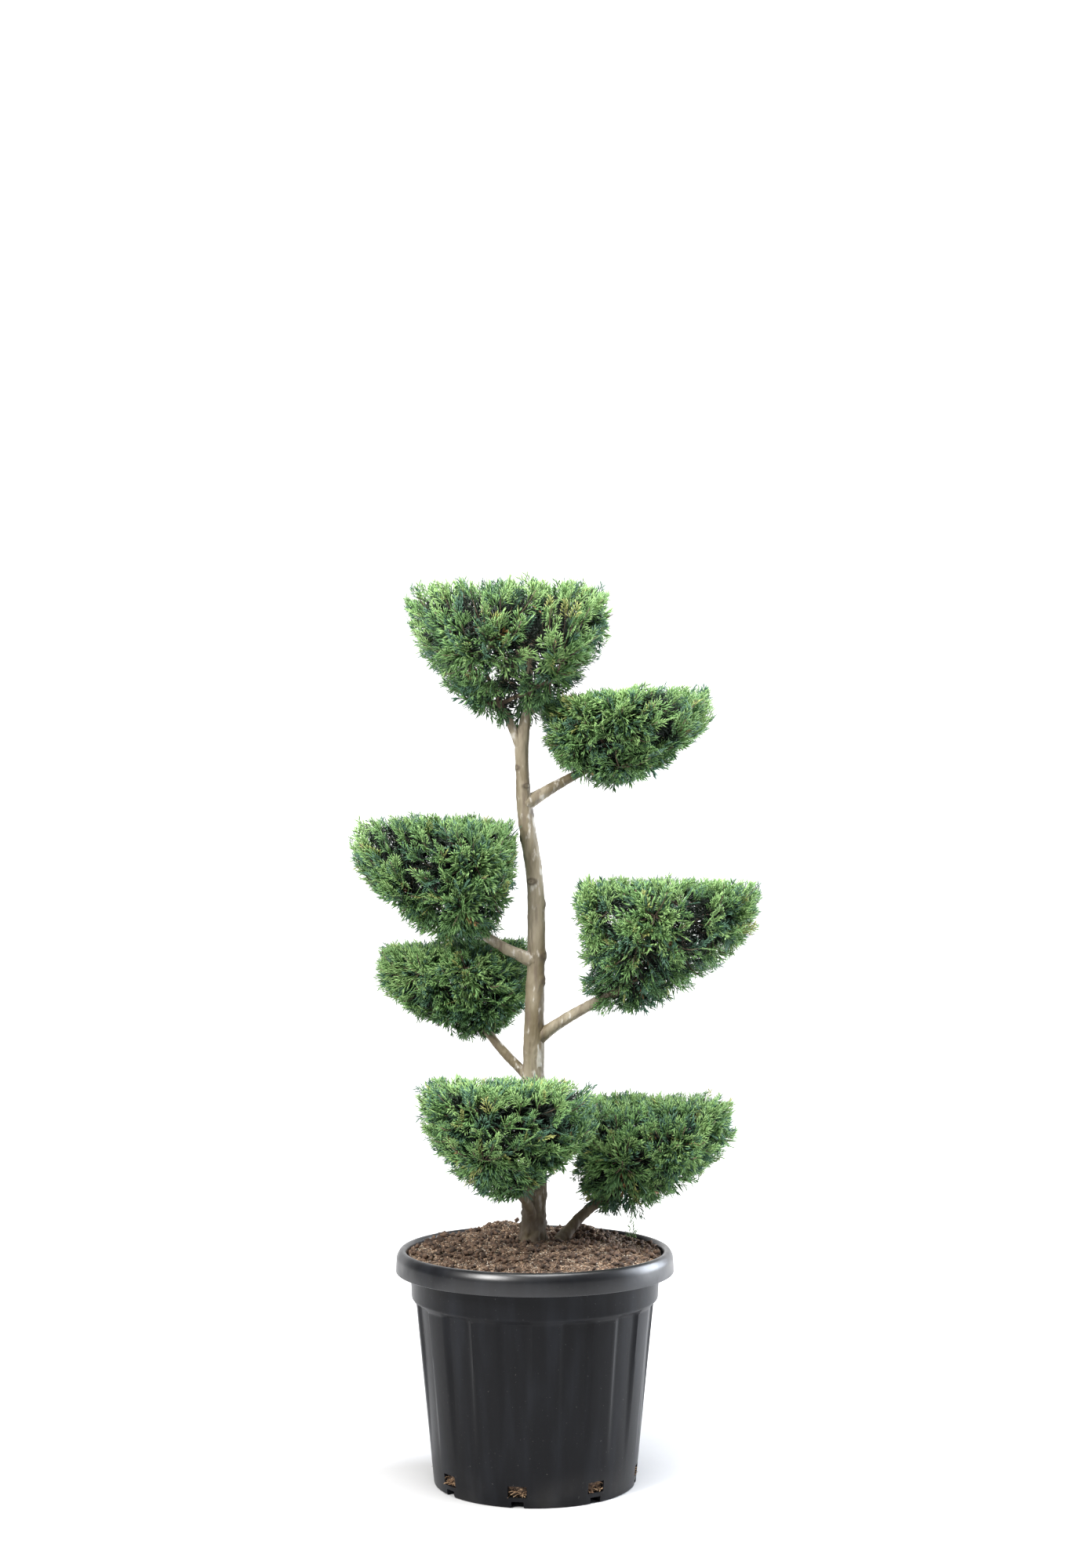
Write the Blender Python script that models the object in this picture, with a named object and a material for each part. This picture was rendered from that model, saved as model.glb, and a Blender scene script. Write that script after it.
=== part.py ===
"""Cloud-pruned cypress in a ribbed nursery pot.

Seven clipped, flat-topped pads of foliage stand on boughs round one slightly bent trunk, and the
trunk stands in a filled round pot. Sizes are in metres with +Z up. The origin is the middle of the
pot's flat underside. X runs to the right of the front view and Y runs away from it.
"""

import math
import random
from collections import namedtuple

import bmesh
import bpy
from mathutils import Vector, noise

CLEARANCE = 0.0003  # what two touching pieces keep between them

# Pot
POT_HEIGHT = 0.325
WALL = 0.0030
RIM_OUTER_RADIUS = 0.1945
RIM_INNER_RADIUS = 0.1795
RIM_ROUNDING = 0.008
RIM_SKIRT_FOOT = 0.294
RIM_HOLLOW_TOP = 0.312
SKIRT_DRAFT = 0.0020
BAND_TOP_RADIUS = 0.1740
BAND_FOOT_RADIUS = 0.1722
BAND_FOOT_HEIGHT = 0.2585
BODY_TOP_HEIGHT = 0.250
BODY_TOP_RADIUS = 0.1660
BODY_FOOT_RADIUS = 0.1410
FOOT_CHAMFER = 0.003
FLOOR_THICKNESS = 0.012
FLUTES = 12
FLUTE_DEPTH = 0.0038
FLUTE_TURN = math.radians(-1.0)
FLUTE_SHARE = 0.5  # how much of each repeat is sunk
FLUTE_STEP = 0.08  # the share of a repeat that one step takes
FLUTE_FADE_HEIGHT = 0.045
DRAIN_HOLES = 8
DRAIN_TURN = math.radians(-9.5)
DRAIN_WIDTH = 0.026
DRAIN_FOOT = 0.0140
DRAIN_TOP = 0.0295
CHANNEL_WIDTH = 0.017
CHANNEL_DEPTH = 0.0085
CHANNEL_INNER_RADIUS = 0.060

# Potting soil
SOIL_SEAT_HEIGHT = 0.3325
SOIL_EDGE_HEIGHT = 0.3180
SOIL_RISE = 0.0020  # how far the soil stands above the seats, which are sunk in it
SOIL_FLAT_RADIUS = 0.050
SOIL_LUMPS = 0.0035
SOIL_SIDE_CLEARANCE = 0.0010
SOIL_RINGS = 6
SOIL_SIDES = 28
SEAT_MARGIN = 0.0035
# A hump: sideways, backwards, height, width
SOIL_HUMPS = ((-0.042, 0.072, 0.017, 0.036), (0.072, 0.062, 0.012, 0.032), (-0.085, -0.045, 0.004, 0.030))

# Trunk: height, sideways, backwards, radius
TRUNK_LINE = (
    (SOIL_SEAT_HEIGHT + CLEARANCE, -0.0030, 0.003, 0.0165),
    (0.425, 0.0000, 0.004, 0.0160),
    (0.510, -0.0013, 0.005, 0.0157),
    (0.580, -0.0018, 0.006, 0.0152),
    (0.646, -0.0010, 0.005, 0.0137),
    (0.720, 0.0013, 0.003, 0.0125),
    (0.791, 0.0020, 0.001, 0.0118),
    (0.845, -0.0005, 0.000, 0.0115),
    (0.896, -0.0080, -0.001, 0.0113),
    (0.944, -0.0148, -0.002, 0.0105),
    (0.990, -0.0176, -0.003, 0.0090),
    (1.036, -0.0178, -0.003, 0.0092),
    (1.085, -0.0100, -0.002, 0.0060),
    (1.170, -0.0060, 0.000, 0.0042),
)
TRUNK_SIDES = 10
TRUNK_RINGS = 30
FLARE_HEIGHT = 0.040
FLARE_LOBES = 5
FLARE_SPREAD = 0.26
CUTTER_DROP = 0.003

# Boughs and foliage
BOUGH_SIDES = 8
BOUGH_RINGS = 9
BOUGH_COLLAR = 1.25  # how much wider a bough is where it leaves the trunk
LIMB_MARGIN = 0.0015  # what foliage keeps clear of trunk and boughs
PAD_MARGIN = 0.0012  # what foliage keeps clear of another pad
SPRAYS_PER_PAD = 33
SPRAY_TRIES = 8
SPRAY_LENGTH = 0.056
SPRAY_WIDTH = 0.054
SPRAY_THICKNESS = 0.0034
TWIG_SHARE = 0.55  # the length of a spray's twig, as a share of its blade's
TIP_SLACK = 0.003
CORE_INSET = 0.020
CORE_SIDES = 14
CANDIDATES = 900
ANCHOR_SHARE = 0.42  # of a pad's height, where its sprays radiate from
PLAN_POWER = 2.25
FOOT_WIDTH = 0.22
SHOULDER = 0.80
DOME = 0.03
LUMP_SIZE = 0.055
LUMP_SHARE = 0.06

Bough = namedtuple("Bough", "name root_height middle tip root_radius tip_radius")
Pad = namedtuple("Pad", "name bough centre half_width half_depth bottom top foot fullness tilt seed")

# A bough leaves the trunk at root_height, or the soil where that is None, and bends at its middle.
BOUGHS = (
    Bough("bough_fork", 1.026, (-0.0295, -0.003, 1.048), (-0.0410, -0.004, 1.074), 0.0066, 0.0052),
    Bough("bough_upper_right", 0.950, (0.0270, 0.008, 0.9705), (0.0570, 0.016, 0.9870), 0.0086, 0.0060),
    Bough("bough_upper_left", 0.722, (-0.0400, -0.010, 0.7440), (-0.0790, -0.017, 0.7690), 0.0085, 0.0065),
    Bough("bough_middle_right", 0.608, (0.0440, -0.003, 0.6460), (0.1040, -0.008, 0.6800), 0.0088, 0.0066),
    Bough("bough_lower_left", 0.556, (-0.0440, 0.022, 0.5970), (-0.0700, 0.038, 0.6270), 0.0070, 0.0056),
    Bough("bough_front", 0.362, (-0.0080, -0.022, 0.3850), (-0.0240, -0.054, 0.4130), 0.0076, 0.0060),
    Bough("bough_low_right", None, (0.0620, 0.011, 0.3640), (0.1000, 0.018, 0.3960), 0.0078, 0.0068),
)
LOW_BOUGH_ROOT = (0.035, 0.006)

PADS = (
    Pad("pad_crown", "bough_fork", (-0.037, 0.000), 0.142, 0.126, 1.056, 1.259, (-0.032, 0.000), 1.00, 0.000, 11),
    Pad("pad_upper_right", "bough_upper_right", (0.129, 0.026), 0.116, 0.100, 0.973, 1.109, (0.106, 0.020), 0.82, 0.008, 12),
    Pad("pad_upper_left", "bough_upper_left", (-0.140, -0.020), 0.114, 0.101, 0.749, 0.931, (-0.106, -0.017), 0.85, 0.000, 13),
    Pad("pad_middle_right", "bough_middle_right", (0.184, -0.012), 0.125, 0.106, 0.654, 0.844, (0.128, -0.009), 0.80, 0.000, 14),
    Pad("pad_lower_left", "bough_lower_left", (-0.113, 0.060), 0.112, 0.092, 0.615, 0.752, (-0.088, 0.050), 0.80, 0.004, 15),
    Pad("pad_front", "bough_front", (-0.039, -0.113), 0.120, 0.093, 0.405, 0.572, (-0.042, -0.096), 0.95, 0.000, 16),
    Pad("pad_low_right", "bough_low_right", (0.168, 0.024), 0.111, 0.095, 0.369, 0.535, (0.124, 0.020), 0.74, 0.000, 17),
)


def clear_scene():
    """Removes what a new file starts with."""
    for obj in list(bpy.data.objects):
        bpy.data.objects.remove(obj, do_unlink=True)


def finish_material(name, colour, roughness):
    """A plain non-metal finish."""
    material = bpy.data.materials.new(name)
    material.use_nodes = True
    shader = material.node_tree.nodes["Principled BSDF"]
    shader.inputs["Base Color"].default_value = (*colour, 1.0)
    shader.inputs["Roughness"].default_value = roughness
    shader.inputs["Metallic"].default_value = 0.0
    return material


def mesh_object(name, points, faces, material=None, smooth=False):
    """A mesh object from points and faces, with its faces turned outwards."""
    mesh = bpy.data.meshes.new(name)
    mesh.from_pydata([tuple(p) for p in points], [], faces)
    shape = bmesh.new()
    shape.from_mesh(mesh)
    bmesh.ops.recalc_face_normals(shape, faces=shape.faces)
    shape.to_mesh(mesh)
    shape.free()
    obj = bpy.data.objects.new(name, mesh)
    bpy.context.scene.collection.objects.link(obj)
    if material:
        mesh.materials.append(material)
    if smooth:
        mesh.shade_smooth()
        mesh.set_sharp_from_angle(angle=math.radians(40))
    return obj


def as_helper(obj):
    """Marks a cutter, which isn't part of the plant."""
    obj.hide_render = True
    obj.display_type = "WIRE"
    return obj


def apply_boolean(obj, operation, other=None, collection=None, solver="EXACT"):
    """Applies one Boolean to obj and removes what it was made with."""
    modifier = obj.modifiers.new(operation.lower(), "BOOLEAN")
    modifier.operation = operation
    modifier.solver = solver
    if collection:
        modifier.operand_type = "COLLECTION"
        modifier.collection = collection
    else:
        modifier.object = other
    graph = bpy.context.evaluated_depsgraph_get()
    made = bpy.data.meshes.new_from_object(obj.evaluated_get(graph))
    obj.modifiers.clear()
    old, obj.data = obj.data, made
    bpy.data.meshes.remove(old)
    used = list(collection.objects) if collection else [other]
    for helper in used:
        bpy.data.objects.remove(helper, do_unlink=True)
    if collection:
        bpy.data.collections.remove(collection)


def smooth_line(points, count):
    """Points evenly along a Catmull-Rom curve through the given ones, which may hold more than three numbers."""
    ends = [[2 * a - b for a, b in zip(points[0], points[1])], [2 * a - b for a, b in zip(points[-1], points[-2])]]
    held = [ends[0], *points, ends[1]]
    line = []
    for i in range(count):
        at = i / (count - 1) * (len(points) - 1)
        k = min(int(at), len(points) - 2)
        t = at - k
        weights = (
            (-t + 2 * t**2 - t**3) / 2,
            (2 - 5 * t**2 + 3 * t**3) / 2,
            (t + 4 * t**2 - 3 * t**3) / 2,
            (-(t**2) + t**3) / 2,
        )
        corners = held[k : k + 4]
        line.append([sum(w * c[n] for w, c in zip(weights, corners)) for n in range(len(points[0]))])
    return line


def tube(line, radii, sides, first_normal=None, lobes=None):
    """Points and faces of a closed round limb. lobes(ring, angle) scales the radius where it is given."""
    line = [Vector(p) for p in line]
    points, side = [], Vector((1.0, 0.0, 0.0))
    for i, (centre, radius) in enumerate(zip(line, radii)):
        forward = (line[min(i + 1, len(line) - 1)] - line[max(i - 1, 0)]).normalized()
        if i == 0 and first_normal:
            forward = Vector(first_normal)
        side = (side - side.dot(forward) * forward).normalized()
        across = forward.cross(side)
        for k in range(sides):
            angle = 2 * math.pi * k / sides
            swell = lobes(i, angle) if lobes else 1.0
            points.append(centre + radius * swell * (math.cos(angle) * side + math.sin(angle) * across))
    faces = [tuple(range(sides))[::-1], tuple(range(len(points) - sides, len(points)))]
    for i in range(len(line) - 1):
        for k in range(sides):
            a, b = i * sides + k, i * sides + (k + 1) % sides
            faces.append((a, b, b + sides, a + sides))
    return points, faces


def trunk_line():
    """The trunk's centres and radii from the soil up."""
    stations = smooth_line([(x, y, z, r) for z, x, y, r in TRUNK_LINE], TRUNK_RINGS)
    return [s[:3] for s in stations], [s[3] for s in stations]


def trunk_tube(extra=0.0):
    """The trunk's points and faces, grown by extra for a cutter."""
    line, radii = trunk_line()

    def flare(ring, angle):
        share = max(0.0, 1 - (line[ring][2] - line[0][2]) / FLARE_HEIGHT)
        return 1 + FLARE_SPREAD * share**2 * (0.75 + 0.25 * math.cos(FLARE_LOBES * angle))

    if extra:
        line = [[*line[0][:2], line[0][2] - CUTTER_DROP], *line[1:-1], [*line[-1][:2], line[-1][2] + extra]]
    return tube(line, [r + extra for r in radii], TRUNK_SIDES, first_normal=(0, 0, 1), lobes=flare)


def make_trunk(bark):
    """One whole trunk, from its flat cut at the soil to its tip inside the crown pad."""
    return mesh_object("trunk", *trunk_tube(), bark, smooth=True)


def bough_line(bough):
    """A bough's centres and radii. It starts inside the trunk, which is cut away from it later."""
    if bough.root_height is None:
        root = (*LOW_BOUGH_ROOT, SOIL_SEAT_HEIGHT + CLEARANCE)
    else:
        line, _ = trunk_line()
        root = min(line, key=lambda p: abs(p[2] - bough.root_height))
    points = [(*root, bough.root_radius), (*bough.middle, (bough.root_radius + bough.tip_radius) / 2), (*bough.tip, bough.tip_radius)]
    stations = smooth_line(points, BOUGH_RINGS)
    collar = [1 + (BOUGH_COLLAR - 1) * max(0.0, 1 - i / 3) for i in range(BOUGH_RINGS)]
    return [s[:3] for s in stations], [s[3] * c for s, c in zip(stations, collar)]


def bough_foot():
    """The centre and radius of the flat cut where the low bough stands on the soil."""
    line, radii = bough_line(next(b for b in BOUGHS if b.root_height is None))
    return line[0], radii[0]


def make_boughs(bark):
    """Each bough as one tapering limb, cut to lie against the trunk."""
    for bough in BOUGHS:
        line, radii = bough_line(bough)
        upright = (0, 0, 1) if bough.root_height is None else None
        limb = mesh_object(bough.name, *tube(line, radii, BOUGH_SIDES, first_normal=upright), bark, smooth=True)
        if bough.root_height is not None:
            cutter = as_helper(mesh_object("trunk_cutter", *trunk_tube(CLEARANCE)))
            apply_boolean(limb, "DIFFERENCE", other=cutter)


def limb_segments():
    """Every stretch of trunk and bough as (start, end, radius), for keeping foliage clear of them."""
    segments = []
    for line, radii in [trunk_line(), *(bough_line(b) for b in BOUGHS)]:
        for a, b, r in zip(line, line[1:], radii):
            segments.append((Vector(a), Vector(b), r))
    return segments


def distance_to_segment(point, start, end):
    """How far a point is from a straight stretch."""
    along = end - start
    share = max(0.0, min(1.0, (point - start).dot(along) / along.length_squared))
    return (point - (start + share * along)).length


class Crown:
    """One pad's clipped shape: a flat-topped bowl whose foot sits nearer the trunk than its middle."""

    def __init__(self, pad):
        self.pad = pad
        self.height = pad.top - pad.bottom
        share = ANCHOR_SHARE * 0.8
        self.anchor = Vector((
            pad.foot[0] + (pad.centre[0] - pad.foot[0]) * share,
            pad.foot[1] + (pad.centre[1] - pad.foot[1]) * share,
            pad.bottom + self.height * ANCHOR_SHARE,
        ))

    def rise(self, point):
        """The share of the pad's height at a point, from 0 at its foot to 1 at its clipped top."""
        pad = self.pad
        dx = (point.x - pad.centre[0]) / pad.half_width
        dy = (point.y - pad.centre[1]) / pad.half_depth
        top = pad.top + pad.tilt * dx - DOME * self.height * min(1.5, dx * dx + dy * dy)
        return (point.z - pad.bottom) / (top - pad.bottom)

    def section(self, rise):
        """The middle of the pad's level section at a share of its height, and its width as a share of the widest."""
        pad = self.pad
        shift = min(1.0, rise / 0.7)
        shift = shift * shift * (3 - 2 * shift)
        middle = [foot + (centre - foot) * shift for foot, centre in zip(pad.foot, pad.centre)]
        spread = math.sin(math.pi / 2 * min(1.0, rise / SHOULDER) ** pad.fullness)
        return middle, FOOT_WIDTH + (1 - FOOT_WIDTH) * spread

    def holds(self, point):
        """Whether a point lies inside the smooth shape."""
        rise = self.rise(point)
        if not 0 <= rise <= 1:
            return False
        middle, width = self.section(rise)
        dx = abs(point.x - middle[0]) / self.pad.half_width
        dy = abs(point.y - middle[1]) / self.pad.half_depth
        return (dx**PLAN_POWER + dy**PLAN_POWER) ** (1 / PLAN_POWER) <= width

    def reach(self, direction):
        """How far the clipped surface is from the anchor along a direction, with its lumps."""
        near, far = 0.0, 2 * max(self.pad.half_width, self.height)
        for _ in range(16):
            middle = (near + far) / 2
            if self.holds(self.anchor + direction * middle):
                near = middle
            else:
                far = middle
        lump = noise.noise((self.anchor + direction * near) / LUMP_SIZE)
        return near * (1 + LUMP_SHARE * lump)

    def within(self, point, slack=0.0):
        """Whether a point is inside the lumpy surface, or no more than slack outside it."""
        offset = point - self.anchor
        if offset.length < 1e-6:
            return True
        return offset.length <= self.reach(offset.normalized()) + slack


def spread_over(crown, rng, count):
    """Directions from the anchor whose surface points are evenly apart."""
    candidates = []
    for _ in range(CANDIDATES):
        up = rng.uniform(-1, 1)
        turn = rng.uniform(0, 2 * math.pi)
        level = math.sqrt(1 - up * up)
        direction = Vector((level * math.cos(turn), level * math.sin(turn), up))
        candidates.append((direction, crown.anchor + direction * crown.reach(direction)))
    chosen = [candidates[0]]
    nearest = [(p - chosen[0][1]).length for _, p in candidates]
    while len(chosen) < count:
        best = max(range(len(candidates)), key=nearest.__getitem__)
        chosen.append(candidates[best])
        nearest = [min(old, (p - chosen[-1][1]).length) for old, (_, p) in zip(nearest, candidates)]
    return chosen


# A spray's outline as shares of its length and width: from its twig's root round its four teeth.
SPRAY_OUTLINE = (
    (0.00, 0.00), (0.46, -0.48), (0.60, -0.14), (1.00, 0.00), (0.70, 0.12), (0.84, 0.38), (0.54, 0.17), (0.36, 0.46),
)
SPRAY_MIDDLE = 0.36


def spray(root, tip, flat, width):
    """A toothed blade and the twig it ends, thickest where they meet and thin at the edge."""
    along = tip - root
    forward = along.normalized()
    across = (flat - flat.dot(forward) * forward).normalized()
    normal = forward.cross(across)
    points = [root + along * u + across * (v * width) for u, v in SPRAY_OUTLINE]
    points[0] = root - along * TWIG_SHARE
    middle = root + along * SPRAY_MIDDLE
    points += [middle + normal * SPRAY_THICKNESS / 2, middle - normal * SPRAY_THICKNESS / 2]
    rim = len(SPRAY_OUTLINE)
    faces = []
    for i in range(rim):
        j = (i + 1) % rim
        faces += [(i, j, rim), (j, i, rim + 1)]
    return points, faces


# The rings of a pad's core from its foot to its top: the share of the height, and of the width there.
CORE_RINGS = ((0.05, 0.7), (0.20, 1.0), (0.42, 1.0), (0.66, 1.0), (0.88, 1.0), (1.00, 0.94), (1.00, 0.5))


def core_of(crown, name, material):
    """The dense middle of a pad, which the sprays stand out of."""
    pad = crown.pad
    outer = []
    for rise, share in CORE_RINGS:
        (x, y), width = crown.section(rise)
        for k in range(CORE_SIDES):
            angle = 2 * math.pi * (k + 0.5 * (rise > 0.5)) / CORE_SIDES
            cos, sin = math.cos(angle), math.sin(angle)
            size = width * share / (abs(cos) ** PLAN_POWER + abs(sin) ** PLAN_POWER) ** (1 / PLAN_POWER)
            z = pad.bottom + crown.height * rise
            outer.append(Vector((x + pad.half_width * size * cos, y + pad.half_depth * size * sin, z)))
    outer += [Vector((*pad.foot, pad.bottom)), Vector((*pad.centre, pad.top))]
    points = []
    for point in outer:
        direction = (point - crown.anchor).normalized()
        reach = crown.reach(direction)
        openness = CORE_INSET * (1 + 0.8 * max(0.0, -direction.z))
        points.append(crown.anchor + direction * max(0.35 * reach, reach - openness))
    faces = []
    for i in range(len(CORE_RINGS) - 1):
        for k in range(CORE_SIDES):
            a, b = i * CORE_SIDES + k, i * CORE_SIDES + (k + 1) % CORE_SIDES
            faces += [(a, b, a + CORE_SIDES), (b, b + CORE_SIDES, a + CORE_SIDES)]
    last = (len(CORE_RINGS) - 1) * CORE_SIDES
    for k in range(CORE_SIDES):
        n = (k + 1) % CORE_SIDES
        faces += [(k, len(points) - 2, n), (last + k, last + n, len(points) - 1)]
    return mesh_object(name, points, faces, material)


def clear_of_others(points, crown, crowns, limbs, slack):
    """Whether foliage stays in its own pad, and off the limbs and the other pads."""
    for point in points:
        if not crown.within(point, slack):
            return False
        if any(distance_to_segment(point, a, b) < r + LIMB_MARGIN for a, b, r in limbs):
            return False
        if any(other is not crown and other.within(point, PAD_MARGIN) for other in crowns):
            return False
    return True


def stem_of(crown, bough):
    """The stem that goes on from a bough's tip to the pad's anchor."""
    line, _ = bough_line(bough)
    tip = Vector(bough.tip)
    forward = (tip - Vector(line[-2])).normalized()
    start = tip + forward * CLEARANCE
    middle = start + forward * (crown.anchor - start).length * 0.4
    stations = smooth_line([(*start, bough.tip_radius), (*middle, bough.tip_radius * 0.85), (*crown.anchor, bough.tip_radius * 0.6)], 5)
    return [s[:3] for s in stations], [s[3] for s in stations], forward


def largest_body(obj):
    """Keeps the largest closed body of a mesh, which fills sealed hollows and drops loose scraps."""
    shape = bmesh.new()
    shape.from_mesh(obj.data)
    left, bodies = set(shape.verts), []
    while left:
        body, edge = set(), [left.pop()]
        while edge:
            vertex = edge.pop()
            body.add(vertex)
            for link in vertex.link_edges:
                other = link.other_vert(vertex)
                if other in left:
                    left.discard(other)
                    edge.append(other)
        bodies.append(body)
    keep = max(bodies, key=len)
    bmesh.ops.delete(shape, geom=[v for b in bodies if b is not keep for v in b], context="VERTS")
    shape.to_mesh(obj.data)
    shape.free()


def make_pad(pad, crowns, limbs, material):
    """One pad: a core, the stem in it, and toothed sprays that stand out of it on three-sided twigs."""
    crown = next(c for c in crowns if c.pad is pad)
    bough = next(b for b in BOUGHS if b.name == pad.bough)
    rng = random.Random(pad.seed)
    core = core_of(crown, pad.name, material)
    pieces = bpy.data.collections.new(pad.name + "_pieces")
    bpy.context.scene.collection.children.link(pieces)

    def add(points, faces):
        piece = mesh_object(f"{pad.name}_piece", points, faces)
        bpy.context.scene.collection.objects.unlink(piece)
        pieces.objects.link(piece)

    line, radii, forward = stem_of(crown, bough)
    add(*tube(line, radii, BOUGH_SIDES, first_normal=forward))
    for direction, surface in spread_over(crown, rng, SPRAYS_PER_PAD):
        for attempt in range(SPRAY_TRIES):
            shrink = 1 - 0.05 * attempt
            length = SPRAY_LENGTH * rng.uniform(0.85, 1.1) * shrink
            lean = Vector((rng.uniform(-1, 1), rng.uniform(-1, 1), rng.uniform(-0.4, 1))) * 0.25
            forward = (direction + lean).normalized()
            root = surface - forward * length
            flat = Vector((rng.uniform(-1, 1), rng.uniform(-1, 1), rng.uniform(-1, 1)))
            points, faces = spray(root, surface, flat, SPRAY_WIDTH * rng.uniform(0.85, 1.1) * shrink)
            if clear_of_others(points[1:-2], crown, crowns, limbs, TIP_SLACK):
                add(points, faces)
                break
    apply_boolean(core, "UNION", collection=pieces, solver=PAD_SOLVER)
    if pad.name == "pad_crown":
        cutter = as_helper(mesh_object("trunk_cutter", *trunk_tube(CLEARANCE)))
        apply_boolean(core, "DIFFERENCE", other=cutter)
    largest_body(core)
    return core


PAD_SOLVER = "EXACT"


def flute_angles():
    """The angles round the pot, with pairs close together where the wall steps in or out, and how far each is sunk."""
    repeat = 2 * math.pi / FLUTES
    raised = (1 - FLUTE_SHARE - FLUTE_STEP) * repeat
    sunk = (FLUTE_SHARE - FLUTE_STEP) * repeat
    step = FLUTE_STEP * repeat
    angles = []
    for i in range(FLUTES):
        start = FLUTE_TURN + i * repeat
        angles += [(start + raised * share, 0.0) for share in (0.0, 0.5, 1.0)]
        angles += [(start + raised + step + sunk * share, 1.0) for share in (0.0, 0.5, 1.0)]
    return angles


def body_radius(height):
    """The pot wall's outer radius below the band."""
    return BODY_FOOT_RADIUS + (BODY_TOP_RADIUS - BODY_FOOT_RADIUS) * height / BODY_TOP_HEIGHT


def inner_radius(height):
    """The pot's inner radius, which is plain and round behind the flutes."""
    return body_radius(height) - WALL - 0.7 * FLUTE_DEPTH


def pot_profile():
    """The pot's section up the outside, over the rim and down the inside: radius, height, flute share."""
    skirt_inside = RIM_OUTER_RADIUS - WALL
    outside = [
        (BODY_FOOT_RADIUS - FOOT_CHAMFER, 0.0, 0.0),
        (BODY_FOOT_RADIUS, FOOT_CHAMFER, 0.0),
        (body_radius(FLUTE_FADE_HEIGHT), FLUTE_FADE_HEIGHT, 0.0),
        (body_radius(0.6 * BODY_TOP_HEIGHT), 0.6 * BODY_TOP_HEIGHT, 0.75),
        (BODY_TOP_RADIUS, BODY_TOP_HEIGHT, 1.0),
        (BAND_FOOT_RADIUS, BAND_FOOT_HEIGHT, 0.0),
        (BAND_TOP_RADIUS, RIM_SKIRT_FOOT, 0.0),
        (RIM_INNER_RADIUS + 0.5 * WALL, RIM_HOLLOW_TOP, 0.0),
        (skirt_inside - SKIRT_DRAFT, RIM_HOLLOW_TOP, 0.0),
        (skirt_inside, RIM_SKIRT_FOOT, 0.0),
        (RIM_OUTER_RADIUS, RIM_SKIRT_FOOT, 0.0),
    ]
    middle = (RIM_OUTER_RADIUS - SKIRT_DRAFT - RIM_ROUNDING, POT_HEIGHT - RIM_ROUNDING)
    rounding = [
        (middle[0] + RIM_ROUNDING * math.cos(a), middle[1] + RIM_ROUNDING * math.sin(a), 0.0)
        for a in (math.radians(45 * k) for k in range(3))
    ]
    inside = [
        (RIM_INNER_RADIUS, POT_HEIGHT - 0.0015, 0.0),
        (RIM_INNER_RADIUS - 0.5 * WALL, RIM_HOLLOW_TOP, 0.0),
        (BAND_TOP_RADIUS - WALL, RIM_SKIRT_FOOT, 0.0),
        (BAND_FOOT_RADIUS - WALL, BAND_FOOT_HEIGHT + 2 * WALL, 0.0),
        (inner_radius(BODY_TOP_HEIGHT), BODY_TOP_HEIGHT + 0.5 * WALL, 0.0),
        (inner_radius(FLOOR_THICKNESS), FLOOR_THICKNESS, 0.0),
    ]
    return outside + rounding + inside


def block(name, width, depth, height, centre, turn):
    """A box whose length runs outwards at an angle round the pot."""
    shape = bmesh.new()
    bmesh.ops.create_cube(shape, size=1.0)
    for vertex in shape.verts:
        vertex.co = Vector((vertex.co.x * width, vertex.co.y * depth, vertex.co.z * height))
    mesh = bpy.data.meshes.new(name)
    shape.to_mesh(mesh)
    shape.free()
    obj = bpy.data.objects.new(name, mesh)
    obj.location = (centre[0] * math.cos(turn), centre[0] * math.sin(turn), centre[1])
    obj.rotation_euler = (0, 0, turn - math.pi / 2)
    return obj


def make_pot(plastic):
    """A filled nursery pot: fluted wall, plain collar, rolled rim, side drain holes and channels under its floor."""
    angles = flute_angles()
    points, faces, around = [], [], len(angles)
    for radius, height, flute in pot_profile():
        for angle, sunk in angles:
            r = radius - FLUTE_DEPTH * flute * sunk
            points.append((r * math.cos(angle), r * math.sin(angle), height))
    rings = len(points) // around
    for i in range(rings - 1):
        for k in range(around):
            a, b = i * around + k, i * around + (k + 1) % around
            faces.append((a, b, b + around, a + around))
    faces.append(tuple(range(around))[::-1])
    faces.append(tuple(range((rings - 1) * around, rings * around)))
    pot = mesh_object("pot", points, faces, plastic, smooth=True)

    cuts = bpy.data.collections.new("drain_cuts")
    bpy.context.scene.collection.children.link(cuts)
    for i in range(DRAIN_HOLES):
        turn = DRAIN_TURN - math.pi / 2 + 2 * math.pi * i / DRAIN_HOLES
        centre = (BODY_FOOT_RADIUS, (DRAIN_FOOT + DRAIN_TOP) / 2)
        cuts.objects.link(as_helper(block("drain", DRAIN_WIDTH, 0.04, DRAIN_TOP - DRAIN_FOOT, centre, turn)))
        long = BODY_FOOT_RADIUS + 0.02 - CHANNEL_INNER_RADIUS
        centre = (CHANNEL_INNER_RADIUS + long / 2, 0.0)
        cuts.objects.link(as_helper(block("channel", CHANNEL_WIDTH, long, 2 * CHANNEL_DEPTH, centre, turn)))
    apply_boolean(pot, "DIFFERENCE", collection=cuts)
    return pot


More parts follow.
